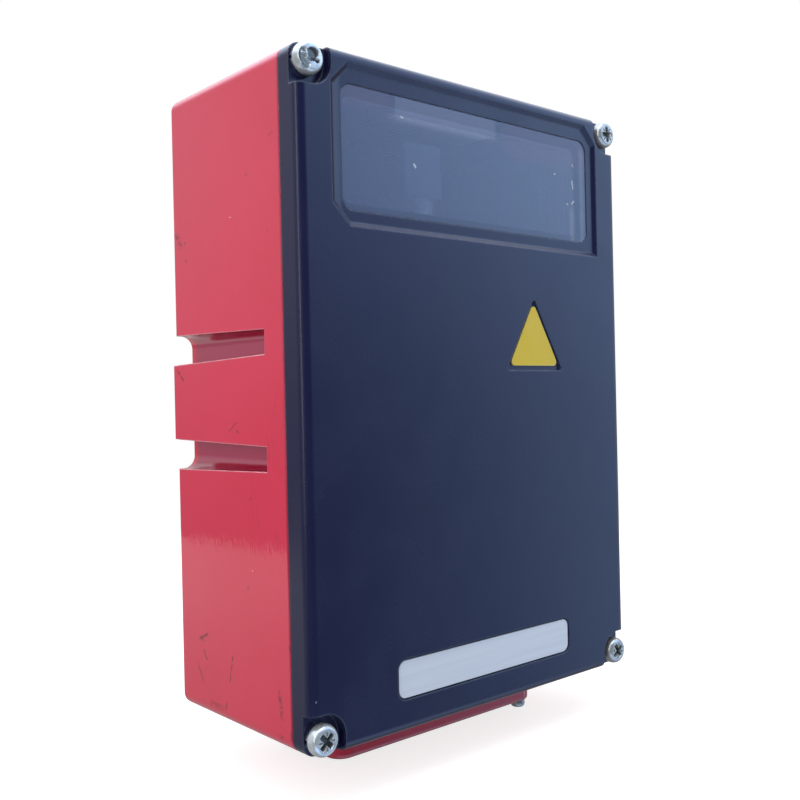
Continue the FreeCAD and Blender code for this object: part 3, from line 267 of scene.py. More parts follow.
def sound_depth(across, along, radius, height, turn):
    """Depth of a sound recess: the deeper of the cross and its ticks, turned by an angle."""
    c, s = math.cos(turn), math.sin(turn)
    p, q = across * c + along * s, along * c - across * s
    cross = cross_depth(p, q, CROSS_REACH * radius, CROSS_WIDTH * radius, CROSS_DEPTH * height)
    return np.maximum(cross, tick_depth(p, q, TICK_REACH * radius, TICK_WIDTH * radius))


def screw_rings(head_radius, head_height, shank_radius, length, turn, chewed=False):
    """Rings of the profile (radius, height) turned about the axis, as (across, along, outward, grime)."""
    angle = np.arange(COLUMNS) / COLUMNS * 2 * math.pi
    rim, shoulder = RIM * head_radius, SHOULDER * head_height
    flat = np.linspace(0.01, 1, TOP_RINGS) * (head_radius - rim)
    bend = np.linspace(0, math.pi / 2, RIM_RINGS)[1:]
    radius = np.concatenate([
        flat, head_radius - rim + rim * np.sin(bend),
        UNDER_RADII * head_radius, SHANK_RADII * shank_radius])
    height = np.concatenate([
        head_height - CROWN * head_height * (flat / head_radius) ** 2,
        head_height * CROWN_EDGE - shoulder * (1 - np.cos(bend)),
        UNDER_HEIGHTS * head_height, SHANK_ENDS * length])
    across, along = radius[:, None] * np.cos(angle), radius[:, None] * np.sin(angle)
    outward = np.repeat(height[:, None], COLUMNS, axis=1)
    if chewed:
        recess = chewed_depth(across, along, head_radius)
    else:
        recess = sound_depth(across, along, head_radius, head_height, turn)
    recess = recess * (np.arange(len(radius)) < len(flat) + CUT_RIM_RINGS)[:, None]
    # Dirt and painted shade, deepest in the recess.
    grime = soft_step(recess / (GRIME_AND_SHADE_DEPTH * head_height))
    return np.stack([across, along, np.minimum(outward - recess, head_height), grime], axis=-1)


def stand(rings, seat, across, up_way, outward):
    """Place rings in the frame by three directions: seat is the middle of the head's underside."""
    basis = np.array([across, up_way, outward], float)
    return np.concatenate([rings[..., :3] @ basis + np.array(seat), rings[..., 3:]], axis=-1)


print("a screw is a grid of", screw_rings(1.0, 1.0, 0.5, 2.0, 0.0).shape[:2], "points")

# %% [markdown]
# ## Screws of the cover
# The four screws stand in the corner pockets of the cover, so their places come from the box round the
# solids they replace. No two screws come to rest at the same angle, so each has its own turn. The one
# at the upper left has the torn recess.

# %% Screws of the cover
HEAD, HEAD_RISE, SHANK = 4.0 * MM, 3.1 * MM, 2.0 * MM
low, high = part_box("cover_screws")
seat_y = low.y + HEAD_RISE
cover_skins = []
for across, rise, turn, chewed in (
        (low.x, high.z, 0.50, True), (high.x, high.z, 0.12, False),
        (low.x, low.z, 0.78, False), (high.x, low.z, 0.60, False)):
    seat = (across - math.copysign(HEAD, across), seat_y, rise - math.copysign(HEAD, rise))
    rings = screw_rings(HEAD, HEAD_RISE, SHANK, high.y - seat_y, turn, chewed)
    cover_skins.append(closed_skin(stand(rings, seat, (1, 0, 0), (0, 0, 1), (0, -1, 0))))
cover_screws = make_piece("cover_screw_set", cover_skins, "case")
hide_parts("cover_screws")

# %% [markdown]
# ## Screws of the collar
# Two smaller screws hold the connector collar from below, one at the right front and one at the left
# rear. The same rings serve again with other sizes, and only the directions change: these heads face down.

# %% Screws of the collar
SMALL_HEAD, SMALL_RISE, SMALL_SHANK = 2.25 * MM, 1.9 * MM, 1.25 * MM
low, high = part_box("collar_screws")
seat_z = low.z + SMALL_RISE
collar_skins = []
for across, middle_y, turn in ((high.x, low.y + SMALL_HEAD, 0.3), (low.x, high.y - SMALL_HEAD, 0.9)):
    seat = (across - math.copysign(SMALL_HEAD, across), middle_y, seat_z)
    rings = screw_rings(SMALL_HEAD, SMALL_RISE, SMALL_SHANK, high.z - seat_z, turn)
    collar_skins.append(closed_skin(stand(rings, seat, (1, 0, 0), (0, 1, 0), (0, 0, -1))))
collar_screws = make_piece("collar_screw_set", collar_skins, "case")
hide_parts("collar_screws")

# %% [markdown]
# ## A workbench for nodes
# A finish is a Principled shader with textures plugged into it. Placed by hand in the editor, the same few
# nodes would come up again and again. The small class below keeps each recipe short instead: it adds
# nodes, plugs sockets or numbers into them, and names the common steps.

# %% Node bench
MIX_SHARE, MIX_FIRST, MIX_SECOND, MIX_RESULT = 0, 6, 7, 2


class Bench:
    """Short names for the nodes that a shader needs often, on any node tree."""

    def __init__(self, tree):
        self.nodes, self.links = tree.nodes, tree.links

    def plug(self, socket, value):
        """Link a socket to another node's output, or set it to a plain value."""
        if isinstance(value, bpy.types.NodeSocket):
            self.links.new(value, socket)
        else:
            socket.default_value = value

    def node(self, kind, values=(), named=None, **settings):
        """Add a node: values go into its first sockets in order, and named ones into sockets by name."""
        made = self.nodes.new("ShaderNode" + kind)
        for key, value in settings.items():
            setattr(made, key, value)
        for socket, value in zip(made.inputs, values):
            self.plug(socket, value)
        for key, value in (named or {}).items():
            self.plug(made.inputs[key], value)
        return made

    def calc(self, operation, first, second=0.0):
        return self.node("Math", (first, second), operation=operation).outputs[0]

    def vector(self, operation, first, second):
        return self.node("VectorMath", (first, second), operation=operation)

    def fade(self, value, low, high, first=0.0, last=1.0):
        """Go smoothly from first to last while the value goes from low to high."""
        values = (value, low, high, first, last)
        return self.node("MapRange", values, interpolation_type="SMOOTHSTEP").outputs[0]

    def mix(self, share, first, second):
        """Blend two colours, through the colour sockets of the Mix node."""
        made = self.node("Mix", data_type="RGBA")
        for index, value in ((MIX_SHARE, share), (MIX_FIRST, first), (MIX_SECOND, second)):
            self.plug(made.inputs[index], value)
        return made.outputs[MIX_RESULT]

    def most(self, values):
        """The largest of several values at each place."""
        largest = values[0]
        for value in values[1:]:
            largest = self.calc("MAXIMUM", largest, value)
        return largest


print("bench steps:", [step for step in vars(Bench) if not step.startswith("_")])

# %% [markdown]
# ## Patterns
# All patterns read Object coordinates in metres, so a noise scale of 1000 gives millimetre grain and
# a mark can sit at a measured place. Image textures would need an unwrapped mesh. These don't, and they
# run on unbroken from one face of a solid to the next.

# %% Pattern bench
SPECK_CORE, MARK_CORE, EDGE_LIKENESS = 0.5, 0.3, (0.995, 0.90)


class PatternBench(Bench):
    """The bench with patterns that are fixed to the object."""

    def __init__(self, tree):
        super().__init__(tree)
        self.place = self.nodes.new("ShaderNodeTexCoord").outputs["Object"]

    def axes(self):
        """The three Object coordinates: across, towards the back and up."""
        return self.node("SeparateXYZ", (self.place,)).outputs

    def noise(self, scale, detail=2.0, stretch=(1, 1, 1)):
        """Cloudy noise between 0 and 1, squeezed along the axes where stretch is large."""
        where = self.vector("MULTIPLY", self.place, stretch).outputs[0]
        named = {"Vector": where, "Scale": scale, "Detail": detail}
        return self.node("TexNoise", named=named).outputs[0]

    def bump(self, height, distance, below=None):
        """Tilt the normal by a height pattern, on top of the relief below it."""
        named = {"Height": height, "Distance": distance, "Strength": 1.0}
        if below is not None:
            named["Normal"] = below
        return self.node("Bump", named=named).outputs[0]

    def specks(self, scale, share, size):
        """Small dots: the middles of the few Voronoi cells whose random value is high."""
        cells = self.node("TexVoronoi", named={"Vector": self.place, "Scale": scale})
        chosen = self.fade(cells.outputs["Color"], 1 - share, 1 - share + 0.01)
        return self.calc("MULTIPLY", chosen, self.fade(cells.outputs["Distance"], size, size * SPECK_CORE))

    def mark(self, start, end, width):
        """A streak, in millimetres: full at the line from start to end, gone at a width away from it."""
        start, end = Vector(start) * MM, Vector(end) * MM
        run = end - start
        from_start = self.vector("SUBTRACT", self.place, start).outputs[0]
        share = self.vector("DOT_PRODUCT", from_start, run / run.length_squared).outputs["Value"]
        share = self.node("Clamp", (share, 0.0, 1.0)).outputs[0]
        foot = self.node("VectorMath", named={0: run, "Scale": share}, operation="SCALE").outputs[0]
        distance = self.vector("DISTANCE", from_start, foot).outputs["Value"]
        return self.fade(distance, width * MM, width * MM * MARK_CORE)

    def rounded(self, radius):
        """The normal as if sharp edges were rounded off by a radius."""
        return self.node("Bevel", named={"Radius": radius}).outputs[0]

    def edges(self, radius):
        """1 on edges that the Bevel node rounds off, 0 on open faces."""
        true = self.node("NewGeometry").outputs["Normal"]
        likeness = self.vector("DOT_PRODUCT", self.rounded(radius), true).outputs["Value"]
        return self.fade(likeness, *EDGE_LIKENESS)


print("patterns:", [step for step in vars(PatternBench) if not step.startswith("_")])

# %% [markdown]
# ## Finishes
# A finish is a material whose Principled shader gets its sockets from a recipe. The sockets have short
# names here. Dressing puts one finish on several solids at once, and on new pieces in the same way.

# %% Finishes
SOCKETS = {
    "colour": "Base Color", "metallic": "Metallic", "roughness": "Roughness", "normal": "Normal",
    "gloss": "Specular IOR Level", "ior": "IOR", "through": "Transmission Weight", "cover": "Alpha",
    "glow": "Emission Color", "glow_strength": "Emission Strength",
}


class Finish(PatternBench):
    """A material under construction: a Principled shader and the textures plugged into it."""

    def __init__(self, name):
        self.material = bpy.data.materials.new(name)
        self.material.use_nodes = True
        super().__init__(self.material.node_tree)
        self.shader = self.nodes["Principled BSDF"]

    def set(self, **values):
        """Plug values into the shader's sockets by their short names."""
        for key, value in values.items():
            self.plug(self.shader.inputs[SOCKETS[key]], value)
        return self


def dress(finish, *names):
    """Give a finish to solids of the frame, by node name, or to new pieces."""
    for name in names:
        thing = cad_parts[name] if isinstance(name, str) else name
        if not thing.material_slots:
            thing.data.materials.append(None)
        for slot in thing.material_slots:
            slot.material = finish.material
    print(finish.material.name, "on", len(names), "pieces,", len(finish.nodes), "nodes")


print("sockets:", list(SOCKETS))

# %% [markdown]
# ## Marks on the red side
# Handling has left dark streaks near the lower corner, a nick on the mounting band, a few smears and two
# pale chips. They are single marks at measured places on the left face, because noise never puts one
# where it is wanted. Each is a line from (depth, height) to (depth, height) in millimetres, and a width.

# %% Marks
SIDE = -61.5
STREAKS = (
    ((-12.4, -65.5), (-16.5, -63.6), 0.55), ((-12.8, -65.1), (-14.2, -65.7), 0.7),
    ((-14.3, -68.3), (-15.9, -70.6), 0.38), ((-10.7, -72.2), (-13.5, -76.9), 0.36),
    ((-29.5, -67.3), (-29.3, -68.4), 0.4), ((-29.1, -69.2), (-27.8, -74.2), 0.4),
    ((-26.1, -80.2), (-25.3, -82.4), 0.35), ((-2.8, 9.1), (-6.1, 6.2), 0.5),
    ((-30.6, -7.6), (-34.0, -5.6), 0.35), ((-33.9, -7.6), (-34.7, -8.2), 0.35),
    ((-55.9, -60.1), (-56.1, -60.8), 0.5), ((-56.0, -80.6), (-56.1, -83.2), 0.5),
    ((-53.6, 65.8), (-53.4, 65.5), 0.45), ((-51.1, 67.4), (-50.8, 67.3), 0.4),
    ((-52.3, 65.4), (-52.2, 65.2), 0.35), ((-41.3, 57.6), (-41.2, 57.4), 0.35),
    ((-50.4, 42.1), (-50.3, 41.9), 0.4), ((-5.1, 46.6), (-5.9, 46.1), 0.5),
    ((-8.6, 44.6), (-8.9, 44.3), 0.45), ((-9.2, 39.6), (-9.4, 39.3), 0.4),
    ((-10.8, 50.1), (-10.9, 49.8), 0.35), ((-37.9, -46.5), (-37.8, -48.6), 0.25),
)
SMEARS = (((-17.7, -82.2), (-23.6, -82.4), 1.3), ((-51.3, -72.3), (-52.2, -78.2), 1.2),
          ((-51.1, -82.7), (-52.0, -83.1), 0.9), ((-4.2, 47.0), (-6.2, 43.6), 1.5))
PALE_DOTS = (((-40.1, -43.3), (-40.2, -43.4), 0.26), ((-32.6, 47.9), (-33.6, 47.9), 0.12))
print("marks:", len(STREAKS), "streaks,", len(SMEARS), "smears,", len(PALE_DOTS), "dots")

# %% [markdown]
# ## Wear of the enamel
# Besides the single marks, faint hairlines and specks go round all sides, so they come from noise. Dust
# and painted shade lie in the clamp grooves: greyish dust with shade on their bottoms, painted shade on
# their walls. Edges of the paint show as pale lines, both paint rubbed thin by brackets and painted
# highlights, and dirt sits in the seam along the cover. Painting all this by hand would fix it to one
# mesh. Each pair of numbers below is where a fade starts and where it ends.

# %% Wear
GROOVE_HEIGHTS = (22.0 * MM, 19.5 * MM)
GROOVE_SIDES = (61.4 * MM, 60.4 * MM)
GROOVE_MOUTHS = (-2.5 * MM, -5.0 * MM)
# Painted shade in the grooves: dark on the walls, and dust with shade on the bottoms.
WALL_SHADE, BOTTOM_DUST_AND_SHADE = (0.15, 0.005, 0.030, 1), (0.25, 0.044, 0.105, 1)
BOTTOM_FACING, DUST_AND_SHADE_SHARE = (0.80, 0.98), 0.6
# The middle colour is for pale edges, both rubbed paint and painted highlight.
CHIP, RUBBED_AND_HIGHLIGHT, DIRT = (0.88, 0.62, 0.64, 1), (0.88, 0.52, 0.58, 1), (0.085, 0.008, 0.016, 1)


def scuffs(paint):
    """Hairlines where a stretched noise passes its middle value, in patches, and specks."""
    hair = paint.calc("ABSOLUTE", paint.calc("SUBTRACT", paint.noise(70, 1, (1, 2.5, 0.5)), 0.5))
    patches = paint.fade(paint.noise(45, 2), 0.60, 0.68)
    hair = paint.calc("MULTIPLY", paint.fade(hair, 0.006, 0.001), patches)
    return paint.calc("MAXIMUM", paint.calc("MULTIPLY", hair, 0.35), paint.specks(160, 0.06, 0.035))


def side_marks(paint, tint, dirt):
    """The marks of the left face: streaks broken by fine noise, clouded smears and pale dots."""
    streaks, smears, dots = (
        paint.most([paint.mark((SIDE, *start), (SIDE, *end), width) for start, end, width in marks])
        for marks in (STREAKS, SMEARS, PALE_DOTS))
    streaks = paint.calc("MULTIPLY", streaks, paint.fade(paint.noise(900, 2), 0.30, 0.55))
    smears = paint.calc("MULTIPLY", smears, paint.fade(paint.noise(1100, 3), 0.40, 0.66, 0.0, 0.85))
    tint = paint.mix(paint.calc("MULTIPLY", dots, 0.6), tint, CHIP)
    return tint, paint.most([dirt, streaks, smears])


def groove_dust_and_shade(paint, tint):
    """Dust and painted shade inside the grooves: between two heights, in from the side faces and away from
    the back.
    """
    x, y, z = paint.axes()
    inside = paint.calc("MULTIPLY", paint.fade(paint.calc("ABSOLUTE", z), *GROOVE_HEIGHTS),
                        paint.fade(paint.calc("ABSOLUTE", x), *GROOVE_SIDES))
    inside = paint.calc("MULTIPLY", inside, paint.fade(y, *GROOVE_MOUTHS))
    normal = paint.node("NewGeometry").outputs["Normal"]
    facing = paint.calc("ABSOLUTE", paint.node("SeparateXYZ", (normal,)).outputs[0])
    # The walls get painted shade, the bottoms greyish dust with painted shade.
    dust = paint.mix(paint.fade(facing, *BOTTOM_FACING), WALL_SHADE, BOTTOM_DUST_AND_SHADE)
    return paint.mix(paint.calc("MULTIPLY", inside, DUST_AND_SHADE_SHARE), tint, dust)


def worn_and_highlighted_edges(paint, tint, dirt):
    """Pale edges, rubbed paint and painted highlight, except near the cover, and over them the dirt with
    that of the seam.
    """
    y = paint.axes()[1]
    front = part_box("housing")[0].y
    patches = paint.fade(paint.noise(300, 3), 0.25, 0.6, 0.45, 0.95)
    # Pale edge lines: rubbed paint and painted highlights.
    worn = paint.calc("MULTIPLY", paint.edges(0.5 * MM), patches)
    worn = paint.calc("MULTIPLY", worn, paint.fade(y, front + 1.0 * MM, front + 2.5 * MM))
    seam = paint.fade(y, front + 0.9 * MM, front + 0.2 * MM, 0.0, 0.35)
    dark = paint.calc("MAXIMUM", paint.calc("MULTIPLY", dirt, 0.75), seam)
    return paint.mix(dark, paint.mix(worn, tint, RUBBED_AND_HIGHLIGHT), DIRT)


print("groove dust within", round(GROOVE_HEIGHTS[0] / MM, 1), "mm above and below the middle")

# %% [markdown]
# ## Red enamel
# The housing and the collar are cast aluminium under glossy red enamel. A plain colour would look like
# plastic, so the enamel lies in slow waves, which bend the reflections, and fine upright rubbing marks
# fray their edges. The collar below is the same paint, darkened all over as painted shade for the shadow it
# lies in.

# %% Red enamel
RED, RED_SHADE = (0.600, 0.023, 0.066), (0.575, 0.020, 0.058)
EDGE_RADIUS = 0.6 * MM


def enamel(name, colour, shade, roughness, gloss):
    """Paint whose colour and roughness change slowly; both are returned, still unplugged."""
    paint = Finish(name)
    tint = paint.mix(paint.fade(paint.noise(22, 3), 0.35, 0.65), (*colour, 1), (*shade, 1))
    dull = paint.fade(paint.noise(60, 4), 0.3, 0.7, roughness * 0.85, roughness * 1.2)
    paint.set(gloss=gloss)
    return paint, tint, dull


def red_enamel(name, marked, strength=1.0):
    """Strength below 1 darkens the paint all over, as painted shade for a part that lies in shadow."""
    colour, shade = (strength * np.array(rgb) for rgb in (RED, RED_SHADE))
    paint, tint, dull = enamel(name, colour, shade, 0.05, 0.7)
    dirt = scuffs(paint)
    if marked:
        tint, dirt = side_marks(paint, tint, dirt)
    tint = groove_dust_and_shade(paint, tint)
    tint = worn_and_highlighted_edges(paint, tint, dirt)
    dull = paint.calc("ADD", dull, paint.calc("MULTIPLY", dirt, 0.35))
    waves = paint.bump(paint.noise(75, 1), 0.05 * MM, paint.rounded(EDGE_RADIUS))
    rubbing = paint.bump(paint.noise(420, 2, (1, 3, 0.6)), 0.035 * MM, waves)
    grain = paint.bump(paint.noise(1300, 2), 0.003 * MM, rubbing)
    return paint.set(colour=tint, roughness=dull, normal=grain)


dress(red_enamel("red_enamel", True), "housing")
# Painted shade: the collar's red is darkened all over for the shadow it lies in.
dress(red_enamel("red_enamel_collar", False, 0.75), "connector_collar")

# %% [markdown]
# ## Dark blue enamel
# The cover is painted in a dark blue that is almost black where nothing bright is reflected. It is a
# little duller than the red, and a few pale dust specks sit on it. The edges of its pockets catch
# thin lines of light, so the normal runs through a Bevel node that rounds sharp edges by a hair. Light
# is also painted near the edges: a wide pale band lifts the shaded walls beside them, and thin pale
# lines are painted highlights as well as rubbed paint.
# The floor of the window recess falls a little towards the pane at its left end, which is a slow bump.

# %% Dark blue enamel
BLUE, BLUE_SHADE = (0.0058, 0.0064, 0.039), (0.0066, 0.0070, 0.042)
# Painted light beside the edges, and pale edge lines of rubbed paint and painted highlight.
PAINTED_EDGE_LIGHT, RUBBED_BLUE_AND_HIGHLIGHT, DUST = (0.055, 0.070, 0.120, 1), (0.18, 0.21, 0.29, 1), (0.35, 0.38, 0.45, 1)
CORNER_SPECK = ((-59.9, -64.4, -72.0), (-59.8, -64.4, -71.8), 0.30)
RECESS_DEPTH, FALL_WIDTH, FALL_SLOPE = 1.0 * MM, 4.0 * MM, 0.16


def fall_to_pane(paint):
    """1 at the left end of the recess floor, sinking to 0 at the pane, and 0 in front of that floor."""
    pane_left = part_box("window_pane")[0].x
    recess_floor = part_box("front_cover")[0].y + RECESS_DEPTH
    x, y = paint.axes()[:2]
    on_floor = paint.fade(y, recess_floor - 0.12 * MM, recess_floor - 0.04 * MM)
    return paint.calc("MULTIPLY", paint.fade(x, pane_left, pane_left - FALL_WIDTH), on_floor)


def blue_enamel():
    """Painted light near the edges, pale lines of rubbed paint and painted highlight, then dust, over the
    dark paint.
    """
    paint, tint, dull = enamel("blue_enamel", BLUE, BLUE_SHADE, 0.25, 0.4)
    # Painted light: the walls beside the edges are lifted.
    tint = paint.mix(paint.calc("MULTIPLY", paint.edges(1.0 * MM), 0.30), tint, PAINTED_EDGE_LIGHT)
    patches = paint.fade(paint.noise(250, 3), 0.30, 0.65, 0.1, 0.5)
    # Pale edge lines: rubbed paint and painted highlights.
    tint = paint.mix(paint.calc("MULTIPLY", paint.edges(0.3 * MM), patches), tint, RUBBED_BLUE_AND_HIGHLIGHT)
    dust = paint.calc("MAXIMUM", paint.specks(110, 0.05, 0.03), paint.mark(*CORNER_SPECK))
    tint = paint.mix(paint.calc("MULTIPLY", dust, 0.55), tint, DUST)
    falling = paint.bump(fall_to_pane(paint), FALL_WIDTH * FALL_SLOPE, paint.rounded(EDGE_RADIUS))
    waves = paint.bump(paint.noise(80, 1), 0.03 * MM, falling)
    grain = paint.bump(paint.noise(1500, 2), 0.008 * MM, waves)
    return paint.set(colour=tint, roughness=dull, normal=grain)


dress(blue_enamel(), "front_cover")

# %% [markdown]
# ## Window glass
# The pane is tinted blue-grey glass. From outside it looks misty: a veil of its own colour lies over a
# dark inside, and only pale things behind it come through. The alpha of each face sets how much veil
# there is. A ray crosses two faces, so a share of 0.55 on each leaves a fifth of what is behind. Light
# is painted on the veil: it gets lighter to the right as a painted reflection, painted reflections of the
# red housing and a lighter area for the bright pale block close behind the pane lie along the upper edge,
# and faint upright strips that are painted reflections of the inner wall and a few painted glints go
# over it, each from (x, z) along (run, fall) with a width.

# %% Window glass
# Painted glints on the glass, each from (x, z) along (run, fall) with a width.
PAINTED_GLINTS = ((-23.7, 61.1, 0.5, 0.6, 0.5), (41.8, 70.3, 0.1, 0.3, 0.5), (41.5, 65.2, 0.3, 2.2, 0.45),
            (33.2, 66.4, 0.3, 0.1, 0.4), (39.0, 58.0, 0.2, 0.2, 0.4), (41.3, 58.3, 0.7, -0.7, 0.5),
            (-27.9, 72.9, 0.6, 0.2, 0.4))
# Painted reflections of the red housing on the glass.
PAINTED_RED_REFLECTIONS = ((-46, 77, 11, 0, 6.0), (17, 75, 27, 1, 8.0))
# Painted reflections of the inner wall as faint upright strips.
PAINTED_WALL_REFLECTIONS = ((45.9, 75, 0, 28, 1.1), (41.2, 56, 0, 9, 1.6))
# The veil is lighter at its right end as a painted reflection.
VEIL_LEFT, VEIL_RIGHT_PAINTED_REFLECTION = (0.078, 0.112, 0.255, 1), (0.104, 0.150, 0.305, 1)
# Painted light on the glass for the bright pale block behind the pane.
RED_REFLECTION_TINT, BLOCK_LIGHT_TINT = (0.20, 0.15, 0.33, 1), (0.26, 0.305, 0.515, 1)
BLOCK_LIGHT_LEFT, BLOCK_LIGHT_RIGHT, BLOCK_LIGHT_FOOT = (-30.1 * MM, -29.6 * MM), (8.0 * MM, 7.5 * MM), (71.6 * MM, 72.6 * MM)
WALL_REFLECTION_TINT, GLINT_TINT = (0.42, 0.47, 0.62, 1), (0.66, 0.70, 0.78, 1)
VEIL_SHARE = 0.55


def window_glass():
    """A veil lighter to the right as a painted reflection, then painted reflections, painted block light
    and painted glints over it.
    """
    glass = Finish("window_glass")
    low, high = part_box("window_pane")
    front = low.y / MM

    def marks(places):
        return glass.most([glass.mark((left, front, top), (left + run, front, top - fall), width)
                           for left, top, run, fall, width in places])

    axes = glass.axes()
    x, z = axes[0], axes[2]
    cloud = glass.fade(glass.noise(14, 2), 0.35, 0.70, 0.0, 0.1)
    # Painted reflection: the veil gets lighter from left to right.
    veil = glass.calc("ADD", glass.fade(x, low.x, high.x, 0.0, 0.9), cloud)
    tint = glass.mix(veil, VEIL_LEFT, VEIL_RIGHT_PAINTED_REFLECTION)
    # Painted reflections of the red housing.
    tint = glass.mix(glass.calc("MULTIPLY", marks(PAINTED_RED_REFLECTIONS), 0.35), tint, RED_REFLECTION_TINT)
    # Painted light: a lighter area where the bright pale block stands behind the pane.
    block_light = glass.calc("MULTIPLY", glass.fade(x, *BLOCK_LIGHT_LEFT), glass.fade(x, *BLOCK_LIGHT_RIGHT))
    block_light = glass.calc("MULTIPLY", block_light, glass.fade(z, *BLOCK_LIGHT_FOOT))
    tint = glass.mix(glass.calc("MULTIPLY", block_light, 0.5), tint, BLOCK_LIGHT_TINT)
    # Painted reflections of the inner wall.
    tint = glass.mix(glass.calc("MULTIPLY", marks(PAINTED_WALL_REFLECTIONS), 0.30), tint, WALL_REFLECTION_TINT)
    # Painted glints.
    tint = glass.mix(marks(PAINTED_GLINTS), tint, GLINT_TINT)
    film = glass.fade(glass.noise(120, 4), 0.35, 0.75, 0.04, 0.09)
    return glass.set(colour=tint, roughness=film, cover=VEIL_SHARE, ior=1.5, gloss=0.9)


dress(window_glass(), "window_pane")

# %% [markdown]
# ## Lens glass
# The two lenses inside are clear optical glass, so light passes through them and bends. That takes
# transmission, not alpha: alpha only lets light through straight on.

# %% Lens glass
def lens_glass():
    """Clear glass with a trace of colour and of dust."""
    glass = Finish("lens_glass")
    tint = glass.mix(glass.noise(40, 2), (0.92, 0.96, 0.98, 1), (0.88, 0.93, 0.96, 1))
    film = glass.fade(glass.noise(300, 2), 0.3, 0.7, 0.02, 0.05)
    return glass.set(colour=tint, roughness=film, through=0.95, ior=1.52)


dress(lens_glass(), "laser_lens", "collector_lens")

# %% [markdown]
# ## Plates
# Two thin plates lie in shallow pockets of the cover: a small triangle in plain yellow film and a
# long silver-white plate. Both are left blank. Film has a slight print grain, and the silver plate
# a satin brush that runs along its length, which is a noise stretched in that direction.

# %% Plates
def yellow_film():
    """Yellow with a fine print grain, paler along its edges."""
    film = Finish("yellow_film")
    tint = film.mix(film.noise(500, 3), (0.65, 0.49, 0.008, 1), (0.61, 0.455, 0.010, 1))
    worn = film.calc("MULTIPLY", film.edges(0.5 * MM), 0.6)
    tint = film.mix(worn, tint, (0.74, 0.66, 0.30, 1))
    return film.set(colour=tint, roughness=film.fade(film.noise(200, 3), 0.3, 0.7, 0.32, 0.45),
                    normal=film.bump(film.noise(2500, 2), 0.004 * MM))


def satin_plate():
    """Silver-white whose colour, roughness and relief all follow the brush."""
    plate = Finish("satin_plate")
    brush = plate.noise(260, 3, (0.08, 1, 3))
    tint = plate.mix(plate.fade(brush, 0.3, 0.7), (0.61, 0.67, 0.765, 1), (0.655, 0.71, 0.80, 1))
    return plate.set(colour=tint, metallic=0.15, roughness=plate.fade(brush, 0.3, 0.7, 0.36, 0.46),
                     normal=plate.bump(brush, 0.004 * MM))


dress(yellow_film(), "sign_plate")
dress(satin_plate(), "name_plate")

# %% [markdown]
# ## Bare metals
# Zinc plating is bright and slightly blue, with a soft mottle and fine scratches. One recipe makes
# all bare metals: two colours, a roughness and the scale of the mottle. Turned and rolled parts differ
# only in those numbers. Dirt and painted shade darken the recess of a screw, as the grid stored them. The
# screws on the left of the reader get more of it, and those on the right are darkened by painted shade.

# %% Bare metals
# Dark colours: dirt with painted shade in recesses, and painted shade on the right.
GRIME_AND_SHADE, RIGHT_SIDE_SHADE = (0.060, 0.070, 0.066, 1), (0.26, 0.255, 0.22, 1)
LEFT_TO_RIGHT = (-20 * MM, 20 * MM)


def bare_metal(name, colour, shade, roughness, mottle=420, metallic=1.0, right_side_shade=0.0):
    """Two colours mixed by the mottle, then painted shade on the right, and dirt with painted shade in
    recesses.
    """
    metal = Finish(name)
    cloud = metal.noise(mottle, 3)
    across = metal.axes()[0]
    tint = metal.mix(metal.fade(cloud, 0.3, 0.7), (*colour, 1), (*shade, 1))
    # Painted shade: the metal darkens towards the right.
    tint = metal.mix(metal.fade(across, *LEFT_TO_RIGHT, 0.0, right_side_shade), tint, RIGHT_SIDE_SHADE)
    # Dirt and painted shade in the recesses, less of it on the right.
    grime = metal.node("Attribute", attribute_name="grime").outputs["Fac"]
    grime = metal.calc("MULTIPLY", grime, metal.fade(across, *LEFT_TO_RIGHT, 0.90, 0.60))
    tint = metal.mix(grime, tint, GRIME_AND_SHADE)
    lines = metal.noise(900, 2, (1, 0.15, 1))
    dull = metal.calc("ADD", metal.fade(cloud, 0.3, 0.75, roughness * 0.8, roughness * 1.3),
                      metal.fade(lines, 0.55, 0.75, 0.0, 0.06))
    return metal.set(colour=tint, metallic=metallic, roughness=dull, normal=metal.bump(lines, 0.003 * MM))


# The zinc of the screws darkens to the right as painted shade.
dress(bare_metal("zinc_plating", (0.63, 0.675, 0.73), (0.41, 0.45, 0.46), 0.24, metallic=0.5, right_side_shade=0.5),
      cover_screws, "carrier_screws", "board_screws", "motor_screws")
dress(bare_metal("dull_zinc", (0.50, 0.51, 0.52), (0.36, 0.37, 0.38), 0.30), "cover_screw_washers")
# Painted shade: a darker zinc for the collar screws and washers, which sit in the shade under the collar.
dress(bare_metal("shaded_grey_zinc", (0.31, 0.32, 0.30), (0.22, 0.23, 0.22), 0.34),
      collar_screws, "collar_screw_washers")
dress(bare_metal("tinned_steel", (0.66, 0.65, 0.60), (0.56, 0.55, 0.51), 0.26),
      "data_plug_shell", "service_socket_shell", "jack_screws")
dress(bare_metal("plated_steel", (0.58, 0.58, 0.60), (0.48, 0.48, 0.50), 0.25),
      "motor_plate", "spindle", "rotor_cup", "mirror_clip", "laser_diode")
dress(bare_metal("cast_aluminium", (0.46, 0.47, 0.49), (0.36, 0.37, 0.39), 0.45, 250), "optics_carrier")
dress(bare_metal("turned_brass", (0.72, 0.52, 0.22), (0.60, 0.42, 0.17), 0.24),
      "bearing_sleeve", "laser_barrel")
dress(bare_metal("gold_contact", (0.85, 0.62, 0.22), (0.76, 0.54, 0.19), 0.20), "data_plug_pins")
# Painted shade: the mirror metal is kept dark for the shade inside the housing.
dress(bare_metal("mirror_face", (0.26, 0.27, 0.30), (0.24, 0.25, 0.28), 0.06),
      "mirror_wheel", "fold_mirror")

# %% [markdown]
# ## Mouldings and rubber
# The small parts inside and under the housing are plain plastics, but spark-eroded moulds leave a matt
# texture on them, so one recipe gives each its grain. The pale block behind the glass is the brightest
# thing inside, and its front gets a faint glow, painted light that stands for the daylight falling on it.

